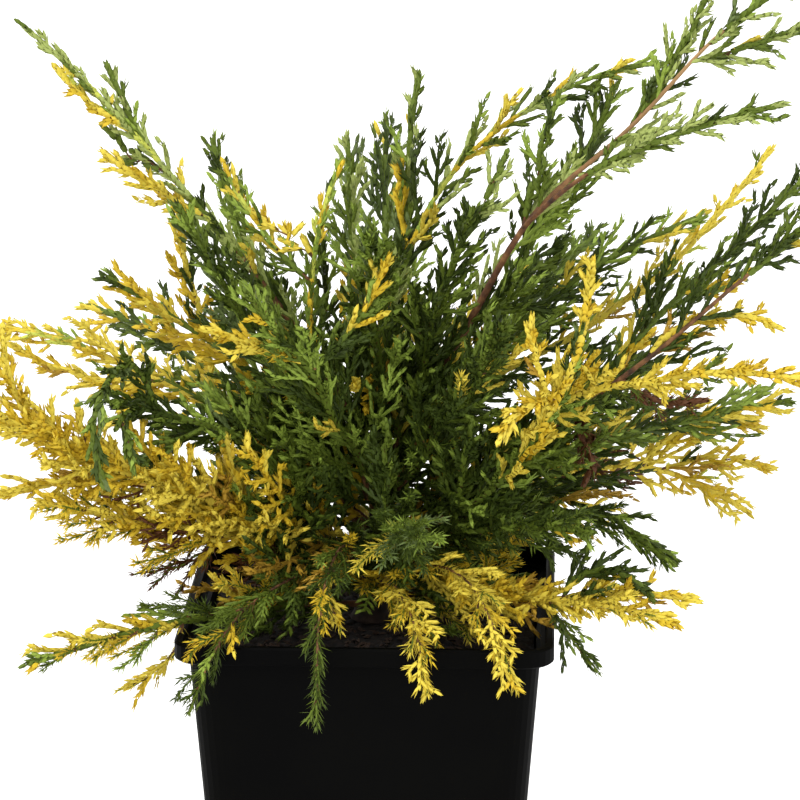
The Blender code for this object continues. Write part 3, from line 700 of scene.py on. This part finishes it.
# The wood runs on inside each shoot nearly to its tip, thinner where scale leaves cover it. On four shoots it
# stays bare and brown up to the share named here.
WOOD_SHARE = 0.90
BROWN_STEM = {"upper_right": 0.90, "right": 0.80, "upper_right_spur": 0.34, "upper_left": 0.35}
BARE_STRETCH = {"upper_right": (0.30, 0.86), "right": (0.45, 0.80)}
YOUNG_STEM = {"upper_right": 1.0, "upper_right_spur": 1.0}


def cover_start(shoot):
    """The share of a shoot where scale leaves begin to cover its stem."""
    return BROWN_STEM.get(shoot.name, 0.22 if shoot.parent == "trunk" else 0.06)


bough_parts = []
bough_youth = []
for shoot in ALL_SHOOTS:
    wood_end = max(shoot.limb, WOOD_SHARE)
    rings = int(shoot.length * wood_end / 0.0022)
    shares = np.linspace(0, wood_end, rings)
    radii = 0.85 * np.array([shoot_radius(shoot, share) for share in shares])
    covered = max(shoot.limb, cover_start(shoot))
    radii *= np.interp(shares, [covered, covered + 0.10], [1.0, 0.55])
    if shoot.name in BROWN_STEM:
        radii *= np.interp(shares, [0.3, 0.6], [1.0, 0.88])
    bough_parts.append(
        bark_tube(at_share(axes[shoot.name], shares), radii, 10, bark_rng, 0.04)
    )
    youth = np.clip((shares - 0.45) / 0.4, 0, 1) * YOUNG_STEM.get(shoot.name, 0.15)
    bough_youth.append(np.concatenate([np.repeat(youth, 10), youth[:1], youth[-1:]]))
boughs = mesh_piece("bough_bark", *join_parts(bough_parts), bark_material)
youth_layer = boughs.data.attributes.new("youth", "FLOAT", "POINT")
youth_layer.data.foreach_set("value", np.concatenate(bough_youth).astype(np.float32))
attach(boughs, "root")
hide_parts(*[f"bough_{shoot.name}" for shoot in SHOOTS if shoot.limb])

# Foliage
# Twigs leave each shoot all round it and curve towards its tip, and carry side sprays in a loose plane. Most
# sprays are cords of small scale leaves in crossed pairs. Low and inner ones keep short pointed needles.

GOLDEN_ANGLE = math.radians(137.5)
TWIG_SPACING = 0.0034
TWIG_ANGLE = 42
SPRAY_SPACING = 0.0039
SPRAY_ANGLE = 34
TIP_SPACING = 0.0041
SCALE_PITCH = 0.00165
SCALE_RUN = 0.0044
SCALE_RADIUS = 0.00092
POT_CLEARANCE = 0.002
PATCH_SIZE = 0.030
GOLD_OUTWARD = 3.0
# Painted shade: by tone, the most inner golden twigs that take the darker shaded gold, less towards a shoot's tip.
SHADED_GOLD_INSIDE = {"light": 0.0, "pale": 0.0, "green": 0.15, "dark": 0.45, "fresh": 0.12, "blue": 0.0}
# Painted shade: the most inner twigs that take deep green, less towards a shoot's tip, for the shade inside the crown.
DEEP_GREEN_SHADE_INSIDE = 0.6
LIFT = 2.0
SAG = -9.0

KIND_COLOURS = {
    # Deep green is a tone of the leaves and also painted shade, dealt to inner twigs and by the dark tone.
    "deep_green": "#35430f",
    "mid_green": "#58681f",
    "fresh_green": "#82963a",
    "blue_green": "#5f6e3c",
    "pale_green": "#939f56",
    "gold": "#c7aa2a",
    "bright_yellow": "#cfbb42",
    "lime": "#b8be50",
    # Painted shade: a darker gold for golden twigs deep inside a shoot.
    "amber": "#a8862c",
    "dead_brown": "#533118",
}
KINDS = tuple(KIND_COLOURS)
GREEN_KINDS = KINDS[:5]
GOLDEN_KINDS = KINDS[5:8]
BRIGHTER_KIND = {"deep_green": "mid_green", "mid_green": "fresh_green", "gold": "bright_yellow"}
KIND_GIRTH = {"blue_green": 1.05, "gold": 1.2, "bright_yellow": 1.15, "amber": 1.05, "dead_brown": 0.6}
FINE_TONE_GIRTH = 0.82
HANGING_GIRTH = 0.72

# How each tone shares its green sprays among GREEN_KINDS, and its golden ones among GOLDEN_KINDS.
GREEN_SHARES = {
    "light": (0.03, 0.29, 0.10, 0.08, 0.50),
    "pale": (0.0, 0.12, 0.10, 0.0, 0.78),
    "green": (0.28, 0.50, 0.20, 0.02, 0.0),
    # The dark tone is painted shade: mostly deep green for shoots whose dense leaves lie in the crown's shade.
    "dark": (0.70, 0.28, 0.02, 0.0, 0.0),
    "fresh": (0.10, 0.35, 0.55, 0.0, 0.0),
    "blue": (0.45, 0.35, 0.05, 0.15, 0.0),
}
GOLD_SHARES = {
    "light": (0.40, 0.45, 0.15),
    "pale": (0.40, 0.50, 0.10),
    "green": (0.54, 0.46, 0.0),
    "dark": (0.60, 0.40, 0.0),
    "fresh": (0.35, 0.57, 0.08),
    "blue": (0.20, 0.40, 0.40),
}
# Shares of a shoot's twigs that keep needles, and of its golden twigs that hang dead under it.
JUVENILE_SHARE = {
    "hanging_front": 1.0,
    "hanging_left": 0.75,
    "near_low": 0.9,
    "rim_front": 0.35,
    "rim_front_right": 0.25,
    "rim_right": 0.3,
    "rim_left": 0.45,
    "front_low_right": 0.5,
    "drooping_right": 0.3,
    "left_low": 0.3,
    "near_left": 0.1,
    "low_north": 0.5,
    "dead_tuft": 1.0,
    "dead_right": 1.0,
    "dead_right_low": 1.0,
    "near_mid": 0.15,
}
DEAD_SHARE = {"dead_tuft": 1, "dead_right": 1, "dead_right_low": 1, "left_low": 0.5, "left": 0.12, "low_right": 0.12, "drooping_right": 0.2, "right": 0.1}
HANGING = (
    "hanging_front",
    "hanging_left",
    "near_low",
    "rim_front",
    "rim_front_right",
    "drooping_right",
    "gold_feather",
    "right_dark_low",
    "rim_left_low",
    "dead_tuft",
)
# Shoots whose own stem has other colours than their twigs: between which shares of it, and the kinds that are
# dealt out along it, and how much its leaves stand out from the wood.
PALE_STEM = ("pale_green", "mid_green", "pale_green", "lime")
MIXED_STEM = ("gold", "lime", "gold", "fresh_green")
YELLOW_STEM = ("gold", "bright_yellow", "gold", "bright_yellow")
STEM_PATCHES = {
    "upper_left": (0.35, 1.0, PALE_STEM, 0.0005),
    "arch": (0.14, 0.85, MIXED_STEM, 0.0005),
    "near_right": (0.60, 1.0, YELLOW_STEM, 0.0013),
    "near_plume": (0.45, 1.0, MIXED_STEM, 0.0005),
    "inner_tip": (0.2, 1.0, MIXED_STEM, 0.0005),
    "gold_plume": (0.5, 1.0, YELLOW_STEM, 0.0005),
}
# Shares of a shoot between which its twigs stand, where it ends sooner than the rule's axis or starts bare.
TWIG_RANGE = {"upper_left": (0.0, 0.945), "upper_right_spur": (0.36, 1.0)}
# Shoots whose twigs grow short on their outer part: the power of the share that is left to the tip.
SLENDER = {
    "upper_left": 1.5,
    "arch": 0.9,
    "hanging_front": 0.9,
    "near_right": 1.6,
    "top": 0.9,
    "mid_right_gold": 1.3,
    "near_plume": 1.6,
    "rim_right": 0.9,
    "front_right": 1.2,
}

# How much further apart the twigs stand on open shoots, and how much closer on dense ones.
OPENNESS = {
    "upper_left": 1.25,
    "upper_right": 1.5,
    "upper_right_spur": 1.3,
    "arch": 1.2,
    "top": 1.2,
    "low_right_back": 1.3,
    "mid_right_gold": 1.5,
    "hanging_front": 1.5,
    "rim_front": 1.5,
    "rim_front_right": 1.5,
    "hanging_left": 1.5,
    "left": 0.75,
    "near_mid": 0.7,
    "front_low_right": 0.8,
    "low_right": 0.85,
    "drooping_right": 0.65,
    "right": 0.75,
    "near_right": 0.85,
    "near_low": 0.7,
    "near_centre": 0.9,
    "rim_right": 0.75,
    "inner_right": 0.75,
    "near_upper": 0.85,
    "back_top": 0.85,
    "inner_left": 0.85,
    "left_low": 0.75,
}

Sprigs = collections.namedtuple("Sprigs", "root heading bend length radius kind shoot juvenile")

pot_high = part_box("pot")[1]
POT_HEIGHT = pot_high[2]
RIM_OUTSIDE = pot_high[0]
RIM_INSIDE = RIM_OUTSIDE - 0.0036
leaf_rng = np.random.default_rng(2024)
stem_lines = [
    at_share(axes[shoot.name], np.linspace(max(0.4 * shoot.limb, 0.02), 1, 40)) for shoot in ALL_SHOOTS
]


def own_space(points, owners, slack):
    """Whether each point is nearer to its own shoot's stem than to any other's, give or take the slack."""
    nearest = np.stack(
        [np.linalg.norm(points[:, None] - line[None], axis=2).min(axis=1) for line in stem_lines], axis=1
    )
    own = nearest[np.arange(len(points)), owners]
    return own <= nearest.min(axis=1) + slack


def clear_of_pot(points):
    """Whether each point is above the rim, over the compost or outside the walls."""
    across = np.abs(points[:, :2]).max(axis=1)
    over = points[:, 2] > POT_HEIGHT + POT_CLEARANCE
    inside = (across < RIM_INSIDE - POT_CLEARANCE) & (points[:, 2] > COMPOST_TOP_HEIGHT + 0.001)
    outside = across > RIM_OUTSIDE + POT_CLEARANCE
    return over | inside | outside


def sprig_point(sprigs, share):
    """A point on each sprig: root + heading * s + bend * s * s / 2, with s the length so far."""
    run = (sprigs.length * share)[:, None]
    return sprigs.root + sprigs.heading * run + sprigs.bend * run * run / 2


def sprig_direction(sprigs, share):
    return unit(sprigs.heading + sprigs.bend * (sprigs.length * share)[:, None])


def across_pair(directions):
    """Two directions across each given one."""
    helper = np.where(np.abs(directions[:, 2:]) < 0.8, [[0.0, 0.0, 1.0]], [[1.0, 0.0, 0.0]])
    side = unit(np.cross(directions, helper))
    return side, np.cross(directions, side)


def take(sprigs, chosen):
    return Sprigs(*(column[chosen] for column in sprigs))


def join_sprigs(parts):
    return Sprigs(*(np.concatenate(column) for column in zip(*parts)))


def keep_clear(sprigs, slack):
    """Shortens what would leave its space or meet the pot, and drops what still does when it is half as long."""
    for cut in (1.0, 0.7, 0.5):
        tip = sprig_point(sprigs, np.full(len(sprigs.length), 1.0))
        middle = sprig_point(sprigs, np.full(len(sprigs.length), 0.55))
        good = own_space(tip, sprigs.shoot, slack) & clear_of_pot(tip) & clear_of_pot(middle)
        if cut > 0.5:
            sprigs = sprigs._replace(length=np.where(good, sprigs.length, sprigs.length * 0.7))
    return take(sprigs, good)


def deal_kinds(shoot, root, share, downward):
    """Kinds for a shoot's twigs: gold comes in patches, mostly on its outer part, and dead brown ones underneath.
    Inner twigs get deep green and shaded gold as painted shade.
    """
    count = len(root)
    patch = wave_noise(root, PATCH_SIZE, np.random.default_rng(31)) + leaf_rng.normal(0, 0.4, count)
    patch += GOLD_OUTWARD * share * (shoot.gold > 0.4)
    golden = np.argsort(np.argsort(-patch)) < round(shoot.gold * count)
    green = leaf_rng.choice(len(GREEN_KINDS), count, p=GREEN_SHARES[shoot.tone])
    # Painted shade: inner twigs turn deep green.
    green = np.where(leaf_rng.random(count) < DEEP_GREEN_SHADE_INSIDE * (1 - share) ** 2, KINDS.index("deep_green"), green)
    yellow = len(GREEN_KINDS) + leaf_rng.choice(len(GOLDEN_KINDS), count, p=GOLD_SHARES[shoot.tone])
    # Painted shade: inner golden twigs take the darker shaded gold.
    shaded = leaf_rng.random(count) < SHADED_GOLD_INSIDE[shoot.tone] * (1 - share) ** 2
    yellow = np.where(shaded, KINDS.index("amber"), yellow)
    dead_share = DEAD_SHARE.get(shoot.name, 0.0)
    dead = (downward & (share < 0.6)) | (dead_share == 1)
    dead &= leaf_rng.random(count) < dead_share
    return np.where(dead, KINDS.index("dead_brown"), np.where(golden, yellow, green))


def shoot_twigs():
    """The first order: twigs round each shoot's stem, every third one long, shorter towards the shoot's tip.

    A twig's heading turns towards the shoot's own, and upwards, or downwards on the hanging shoots.
    """
    parts = []
    for owner, shoot in enumerate(ALL_SHOOTS):
        start = 0.05
        count = int((1 - start) * shoot.length / (TWIG_SPACING * OPENNESS.get(shoot.name, 1.0)))
        index = np.arange(count)
        share = (index + 0.3) / count
        place = start + (1 - start) * share
        root = at_share(axes[shoot.name], place)
        ahead = unit(at_share(np.gradient(axes[shoot.name], axis=0), place))
        side, up = across_pair(ahead)
        roll = index * GOLDEN_ANGLE + leaf_rng.uniform(-0.4, 0.4, count)
        angle = np.radians(TWIG_ANGLE * (1 - 0.25 * share) * leaf_rng.uniform(0.75, 1.25, count))[:, None]
        out = np.cos(roll)[:, None] * side + np.sin(roll)[:, None] * up
        heading = np.cos(angle) * ahead + np.sin(angle) * out
        bare_start, bare_end = BARE_STRETCH.get(shoot.name, (1, 1))
        bare = (place > bare_start) & (place < bare_end) & ((out[:, 1] < -0.3) | (index % 5 > 3))
        first_twig, last_twig = TWIG_RANGE.get(shoot.name, (0.0, 1.0))
        bare |= (place < first_twig) | (place > last_twig)
        size = np.where(
            index % 3 == 0, leaf_rng.uniform(0.9, 1.35, count), leaf_rng.uniform(0.35, 0.75, count)
        )
        length = 0.006 + shoot.spread * (1 - share) ** SLENDER.get(shoot.name, 0.6) * size
        length = np.minimum(length, (1 - place) * shoot.length + 0.003)
        rise = SAG if shoot.name in HANGING else LIFT
        bend = 0.55 * (ahead - heading) / length[:, None] + leaf_rng.normal(0, 4, (count, 3))
        bend[:, 2] += rise
        kind = deal_kinds(shoot, root, share, out[:, 2] < -0.2)
        needled = leaf_rng.random(count) < JUVENILE_SHARE.get(shoot.name, 0.0)
        radius = SCALE_RADIUS * girths[kind] * (FINE_TONE_GIRTH if shoot.tone == "fresh" else 1.0)
        radius = radius * (HANGING_GIRTH if shoot.name in HANGING else 1.0)
        made = Sprigs(root, heading, bend, length, radius, kind, np.full(count, owner), needled)
        parts.append(take(made, ~bare))
    return keep_clear(join_sprigs(parts), 0.020)


def frond_sides(root, ahead, index):
    """Left and right in turn, level and square to the way out from the trunk, so that a frond hangs flat."""
    outward = unit(root * [1.0, 1.0, 0.0])
    level = np.cross(outward, [[0.0, 0.0, 1.0]])
    across = unit(level - (level * ahead).sum(axis=1, keepdims=True) * ahead)
    return across * (1 - 2 * (index % 2))[:, None]


def side_sprigs(parents, spacing, angle, length_share, shortest, first, slimmer):
    """The next order: sprigs left and right along each parent in turn, shorter towards its tip.

    Needled parents carry only half as many.
    """
    spacing = np.where(parents.juvenile, 2 * spacing, spacing)
    spacing = spacing * np.where(np.isin(parents.shoot, hanging_shoots) & ~parents.juvenile, 0.7, 1.0)
    count = np.maximum(((1 - first) * parents.length / spacing).astype(int), 0)
    owner = np.repeat(np.arange(len(count)), count)
    index = np.arange(len(owner)) - np.repeat(np.cumsum(count) - count, count)
    share = first + (1 - first) * (index + 0.5) / count[owner]
    parent = take(parents, owner)
    root = sprig_point(parent, share)
    ahead = sprig_direction(parent, share)
    side, up = across_pair(ahead)
    plane = (np.arange(len(parents.length)) * 2.4)[owner] + leaf_rng.uniform(-0.5, 0.5, len(owner))
    plane = plane + np.pi * (index % 2) + 1.1 * (index % 4 > 1)
    wide = np.where(np.isin(parent.shoot, fan_shoots), 1.4, 1.0)
    tilt = np.radians(angle * wide * leaf_rng.uniform(0.8, 1.15, len(owner)))[:, None]
    out = np.cos(plane)[:, None] * side + np.sin(plane)[:, None] * up
    hanging = np.isin(parent.shoot, hanging_shoots)
    out = np.where(hanging[:, None], frond_sides(root, ahead, index) + 0.25 * out, out)
    heading = unit(np.cos(tilt) * ahead + np.sin(tilt) * out)
    length = parent.length * length_share * (1.15 - share) * leaf_rng.uniform(0.7, 1.2, len(owner))
    length = np.where(hanging, np.minimum(length, 0.008 * (1.4 - share)), length)
    length = np.maximum(length, shortest)
    bend = 0.5 * (ahead - heading) / length[:, None]
    bend[:, 2] += np.where(hanging, SAG, LIFT)
    young = (leaf_rng.random(len(owner)) < 0.25) & (share > 0.5)
    kind = np.where(young, brighter[parent.kind], parent.kind)
    made = Sprigs(
        root, heading, bend, length, parent.radius * slimmer, kind, parent.shoot, parent.juvenile
    )
    return keep_clear(made, 0.022)


CORD_RUN = 0.007
CORD_END = {"upper_left": 0.92}
NO_PATCHES = (1.0, 1.0, MIXED_STEM, 0.0)


def leading_cords():
    """The outer part of each shoot's own stem, in short runs, also covered with scale leaves."""
    parts = []
    for owner, shoot in enumerate(ALL_SHOOTS):
        axis = axes[shoot.name]
        first = cover_start(shoot)
        last = CORD_END.get(shoot.name, 0.96)
        runs = np.linspace(first, last, math.ceil((last - first) * shoot.length / CORD_RUN) + 1)
        count = len(runs)
        root = at_share(axis, runs)
        heading = unit(at_share(axis, runs + 0.04) - root)
        wood = np.array([shoot_radius(shoot, share) for share in runs])
        stem_kind = "mid_green" if shoot.gold < 0.5 else "bright_yellow"
        stem_kind = "dead_brown" if DEAD_SHARE.get(shoot.name) == 1 else stem_kind
        kind = np.full(count, KINDS.index(stem_kind))
        patches_start, patches_end, patch_kinds, patch_relief = STEM_PATCHES.get(shoot.name, NO_PATCHES)
        patched = (runs >= patches_start) & (runs < patches_end)
        patchy = leaf_rng.choice([KINDS.index(name) for name in patch_kinds], count)
        kind = np.where(patched, patchy, kind)
        needled = np.full(count, shoot.name in HANGING and shoot.name != "drooping_right")
        parts.append(
            (
                root,
                heading,
                np.zeros((count, 3)),
                np.full(count, 1.2 * CORD_RUN),
                0.7 * wood + np.where(patched, patch_relief, 0.0008),
                kind,
                np.full(count, owner),
                needled,
            )
        )
    return join_sprigs(parts)


girths = np.array([KIND_GIRTH.get(kind, 1.0) for kind in KINDS])
brighter = np.array([KINDS.index(BRIGHTER_KIND.get(kind, kind)) for kind in KINDS])
hanging_shoots = [owner for owner, shoot in enumerate(ALL_SHOOTS) if shoot.name in HANGING]
fan_shoots = [owner for owner, shoot in enumerate(ALL_SHOOTS) if shoot.gold > 0.5]
twigs = shoot_twigs()
sprays = side_sprigs(twigs, SPRAY_SPACING, SPRAY_ANGLE, 0.46, 0.0046, 0.12, 0.95)
tips = side_sprigs(take(sprays, sprays.length > 0.0080), TIP_SPACING, 34, 0.42, 0.0036, 0.22, 0.95)
foliage = join_sprigs([twigs, sprays, tips, leading_cords()])


def scale_leaves(sprigs, rng):
    """Scale leaves in crossed pairs along each sprig, each folded round a quarter of it and lapping the next.

    Six corners a leaf: two at its broad base, two sides, the ridge between them and the free tip.
    """
    count = np.maximum((sprigs.length / SCALE_PITCH).astype(int), 2)
    owner = np.repeat(np.arange(len(count)), count)
    index = np.arange(len(owner)) - np.repeat(np.cumsum(count) - count, count)
    share = index / count[owner]
    parent = take(sprigs, owner)
    centre = sprig_point(parent, share)
    ahead = sprig_direction(parent, share)
    side, up = across_pair(ahead)
    reach = (parent.radius * (1 - 0.25 * share**4) * rng.uniform(0.88, 1.12, len(owner)))[:, None]
    run = (SCALE_RUN * (1 - 0.60 * share**2))[:, None]
    corners = []
    for half in range(2):
        turn = index * np.pi / 2 + half * np.pi + owner * 1.3 + rng.uniform(-0.10, 0.10, len(owner))
        out = np.cos(turn)[:, None] * side + np.sin(turn)[:, None] * up
        wide = np.cross(ahead, out)
        free = (rng.uniform(0.82, 1.15, len(owner)) * (1 - 0.85 * share**3))[:, None]
        corners.append(
            np.stack(
                [
                    centre + 0.50 * reach * out + 0.66 * reach * wide,
                    centre + 0.50 * reach * out - 0.66 * reach * wide,
                    centre + 0.50 * run * ahead + 0.60 * reach * out + 0.80 * reach * wide,
                    centre + 0.50 * run * ahead + 0.60 * reach * out - 0.80 * reach * wide,
                    centre + 0.45 * run * ahead + 0.98 * reach * out,
                    centre + run * ahead + reach * free * out,
                ],
                axis=1,
            )
        )
    shield = np.array([(1, 0, 4), (4, 0, 2), (1, 4, 3), (4, 2, 5), (4, 5, 3)])
    return np.concatenate(corners), shield, np.concatenate([parent.kind, parent.kind])


NEEDLE_PITCH = 0.0016
NEEDLE_LENGTH = 0.0056
NEEDLE_WIDTH = 0.0008
NEEDLE_ANGLE = 42


def needles(sprigs, rng):
    """Needles in whorls of three: a lance folded along its ridge, from the stem to its point.

    Four corners a needle: base, two sides at a third of its length, and the point.
    """
    count = np.maximum((sprigs.length / NEEDLE_PITCH).astype(int), 2)
    owner = np.repeat(np.arange(len(count)), count)
    index = np.arange(len(owner)) - np.repeat(np.cumsum(count) - count, count)
    share = index / count[owner]
    parent = take(sprigs, owner)
    centre = sprig_point(parent, share)
    ahead = sprig_direction(parent, share)
    side, up = across_pair(ahead)
    corners = []
    for third in range(3):
        turn = index * np.pi / 3 + third * 2 * np.pi / 3 + owner + rng.uniform(-0.3, 0.3, len(owner))
        out = np.cos(turn)[:, None] * side + np.sin(turn)[:, None] * up
        tilt = np.radians(NEEDLE_ANGLE * (1 - 0.4 * share) * rng.uniform(0.8, 1.2, len(owner)))[:, None]
        along = np.cos(tilt) * ahead + np.sin(tilt) * out
        wide = np.cross(ahead, out) * NEEDLE_WIDTH / 2
        back = np.cross(wide, along) * 0.5
        reach = NEEDLE_LENGTH * (1 - 0.35 * share)[:, None] * rng.uniform(0.8, 1.15, (len(owner), 1))
        corners.append(
            np.stack(
                [
                    centre,
                    centre + 0.35 * reach * along + wide + back,
                    centre + 0.35 * reach * along - wide + back,
                    centre + reach * along,
                ],
                axis=1,
            )
        )
    lance = np.array([(0, 1, 3), (0, 3, 2)])
    return np.concatenate(corners), lance, np.tile(parent.kind, 3)


def sprig_stems(sprigs, foot_radius, tip_radius, end):
    """Bare stems of the sprigs up to a share of their length: four rings of three points, closed by the last."""
    rings = []
    for ring in range(4):
        share = np.full(len(sprigs.length), end * ring / 3)
        centre = sprig_point(sprigs, share)
        side, up = across_pair(sprig_direction(sprigs, share))
        radius = foot_radius + (tip_radius - foot_radius) * ring / 3
        for corner in range(3):
            angle = 2 * np.pi * corner / 3
            rings.append(centre + radius * (np.cos(angle) * side + np.sin(angle) * up))
    points = np.stack(rings, axis=1)
    faces = np.vstack([triangles(grid_faces(4, 3, wrap=True)), [(0, 2, 1), (9, 10, 11)]])
    return points, faces


def leaf_material(kind):
    """Waxy leaves of one colour, with its own plain base colour because its place is dealt out by spray."""
    material, tree = new_material(f"waxy juniper leaf {kind.replace('_', ' ')}")
    shader = add_node(
        tree,
        "ShaderNodeBsdfPrincipled",
        {
            "Base Color": (*linear(KIND_COLOURS[kind]), 1),
            "Roughness": 0.6,
            "Specular IOR Level": 0.22,
        },
    )
    finish_material(tree, shader)
    return material


MOST_TRIANGLES = 190_000
masses_to_replace = [f"foliage_{shoot.name}" for shoot in SHOOTS]


def leaf_pieces(name, points, pattern, material):
    """Joins like leaves into pieces of under MOST_TRIANGLES triangles."""
    global masses_to_replace
    most = MOST_TRIANGLES // len(pattern)
    corners = points.shape[1]
    for start in range(0, len(points), most):
        part = points[start : start + most]
        faces = (pattern[None] + corners * np.arange(len(part))[:, None, None]).reshape(-1, 3)
        piece = mesh_piece(f"{name}_{start // most + 1}", part.reshape(-1, 3), faces, material)
        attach(piece, "root")
        if masses_to_replace:
            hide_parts(*masses_to_replace)
            masses_to_replace = []


leaf_materials = [leaf_material(kind) for kind in KINDS]
scales, scale_shield, scale_kinds = scale_leaves(take(foliage, ~foliage.juvenile), leaf_rng)
juvenile = take(foliage, foliage.juvenile)
lances, lance_pattern, lance_kinds = needles(juvenile, leaf_rng)
for number, kind in enumerate(KINDS):
    leaf_pieces(f"scales_{kind}", scales[scale_kinds == number], scale_shield, leaf_materials[number])
    leaf_pieces(f"needles_{kind}", lances[lance_kinds == number], lance_pattern, leaf_materials[number])
leaf_pieces("needle_stems", *sprig_stems(juvenile, 0.0006, 0.0003, 0.95), leaf_materials[1])
bare_points, bare_faces = sprig_stems(twigs, 0.0007, 0.0004, 0.35)
leaf_pieces("twig_bark", bare_points, bare_faces, bark_material)
print("scales", len(scales), "needles", len(lances), "sprigs", len(foliage.length), len(twigs.length), len(sprays.length), len(tips.length), "m", foliage.length.sum())
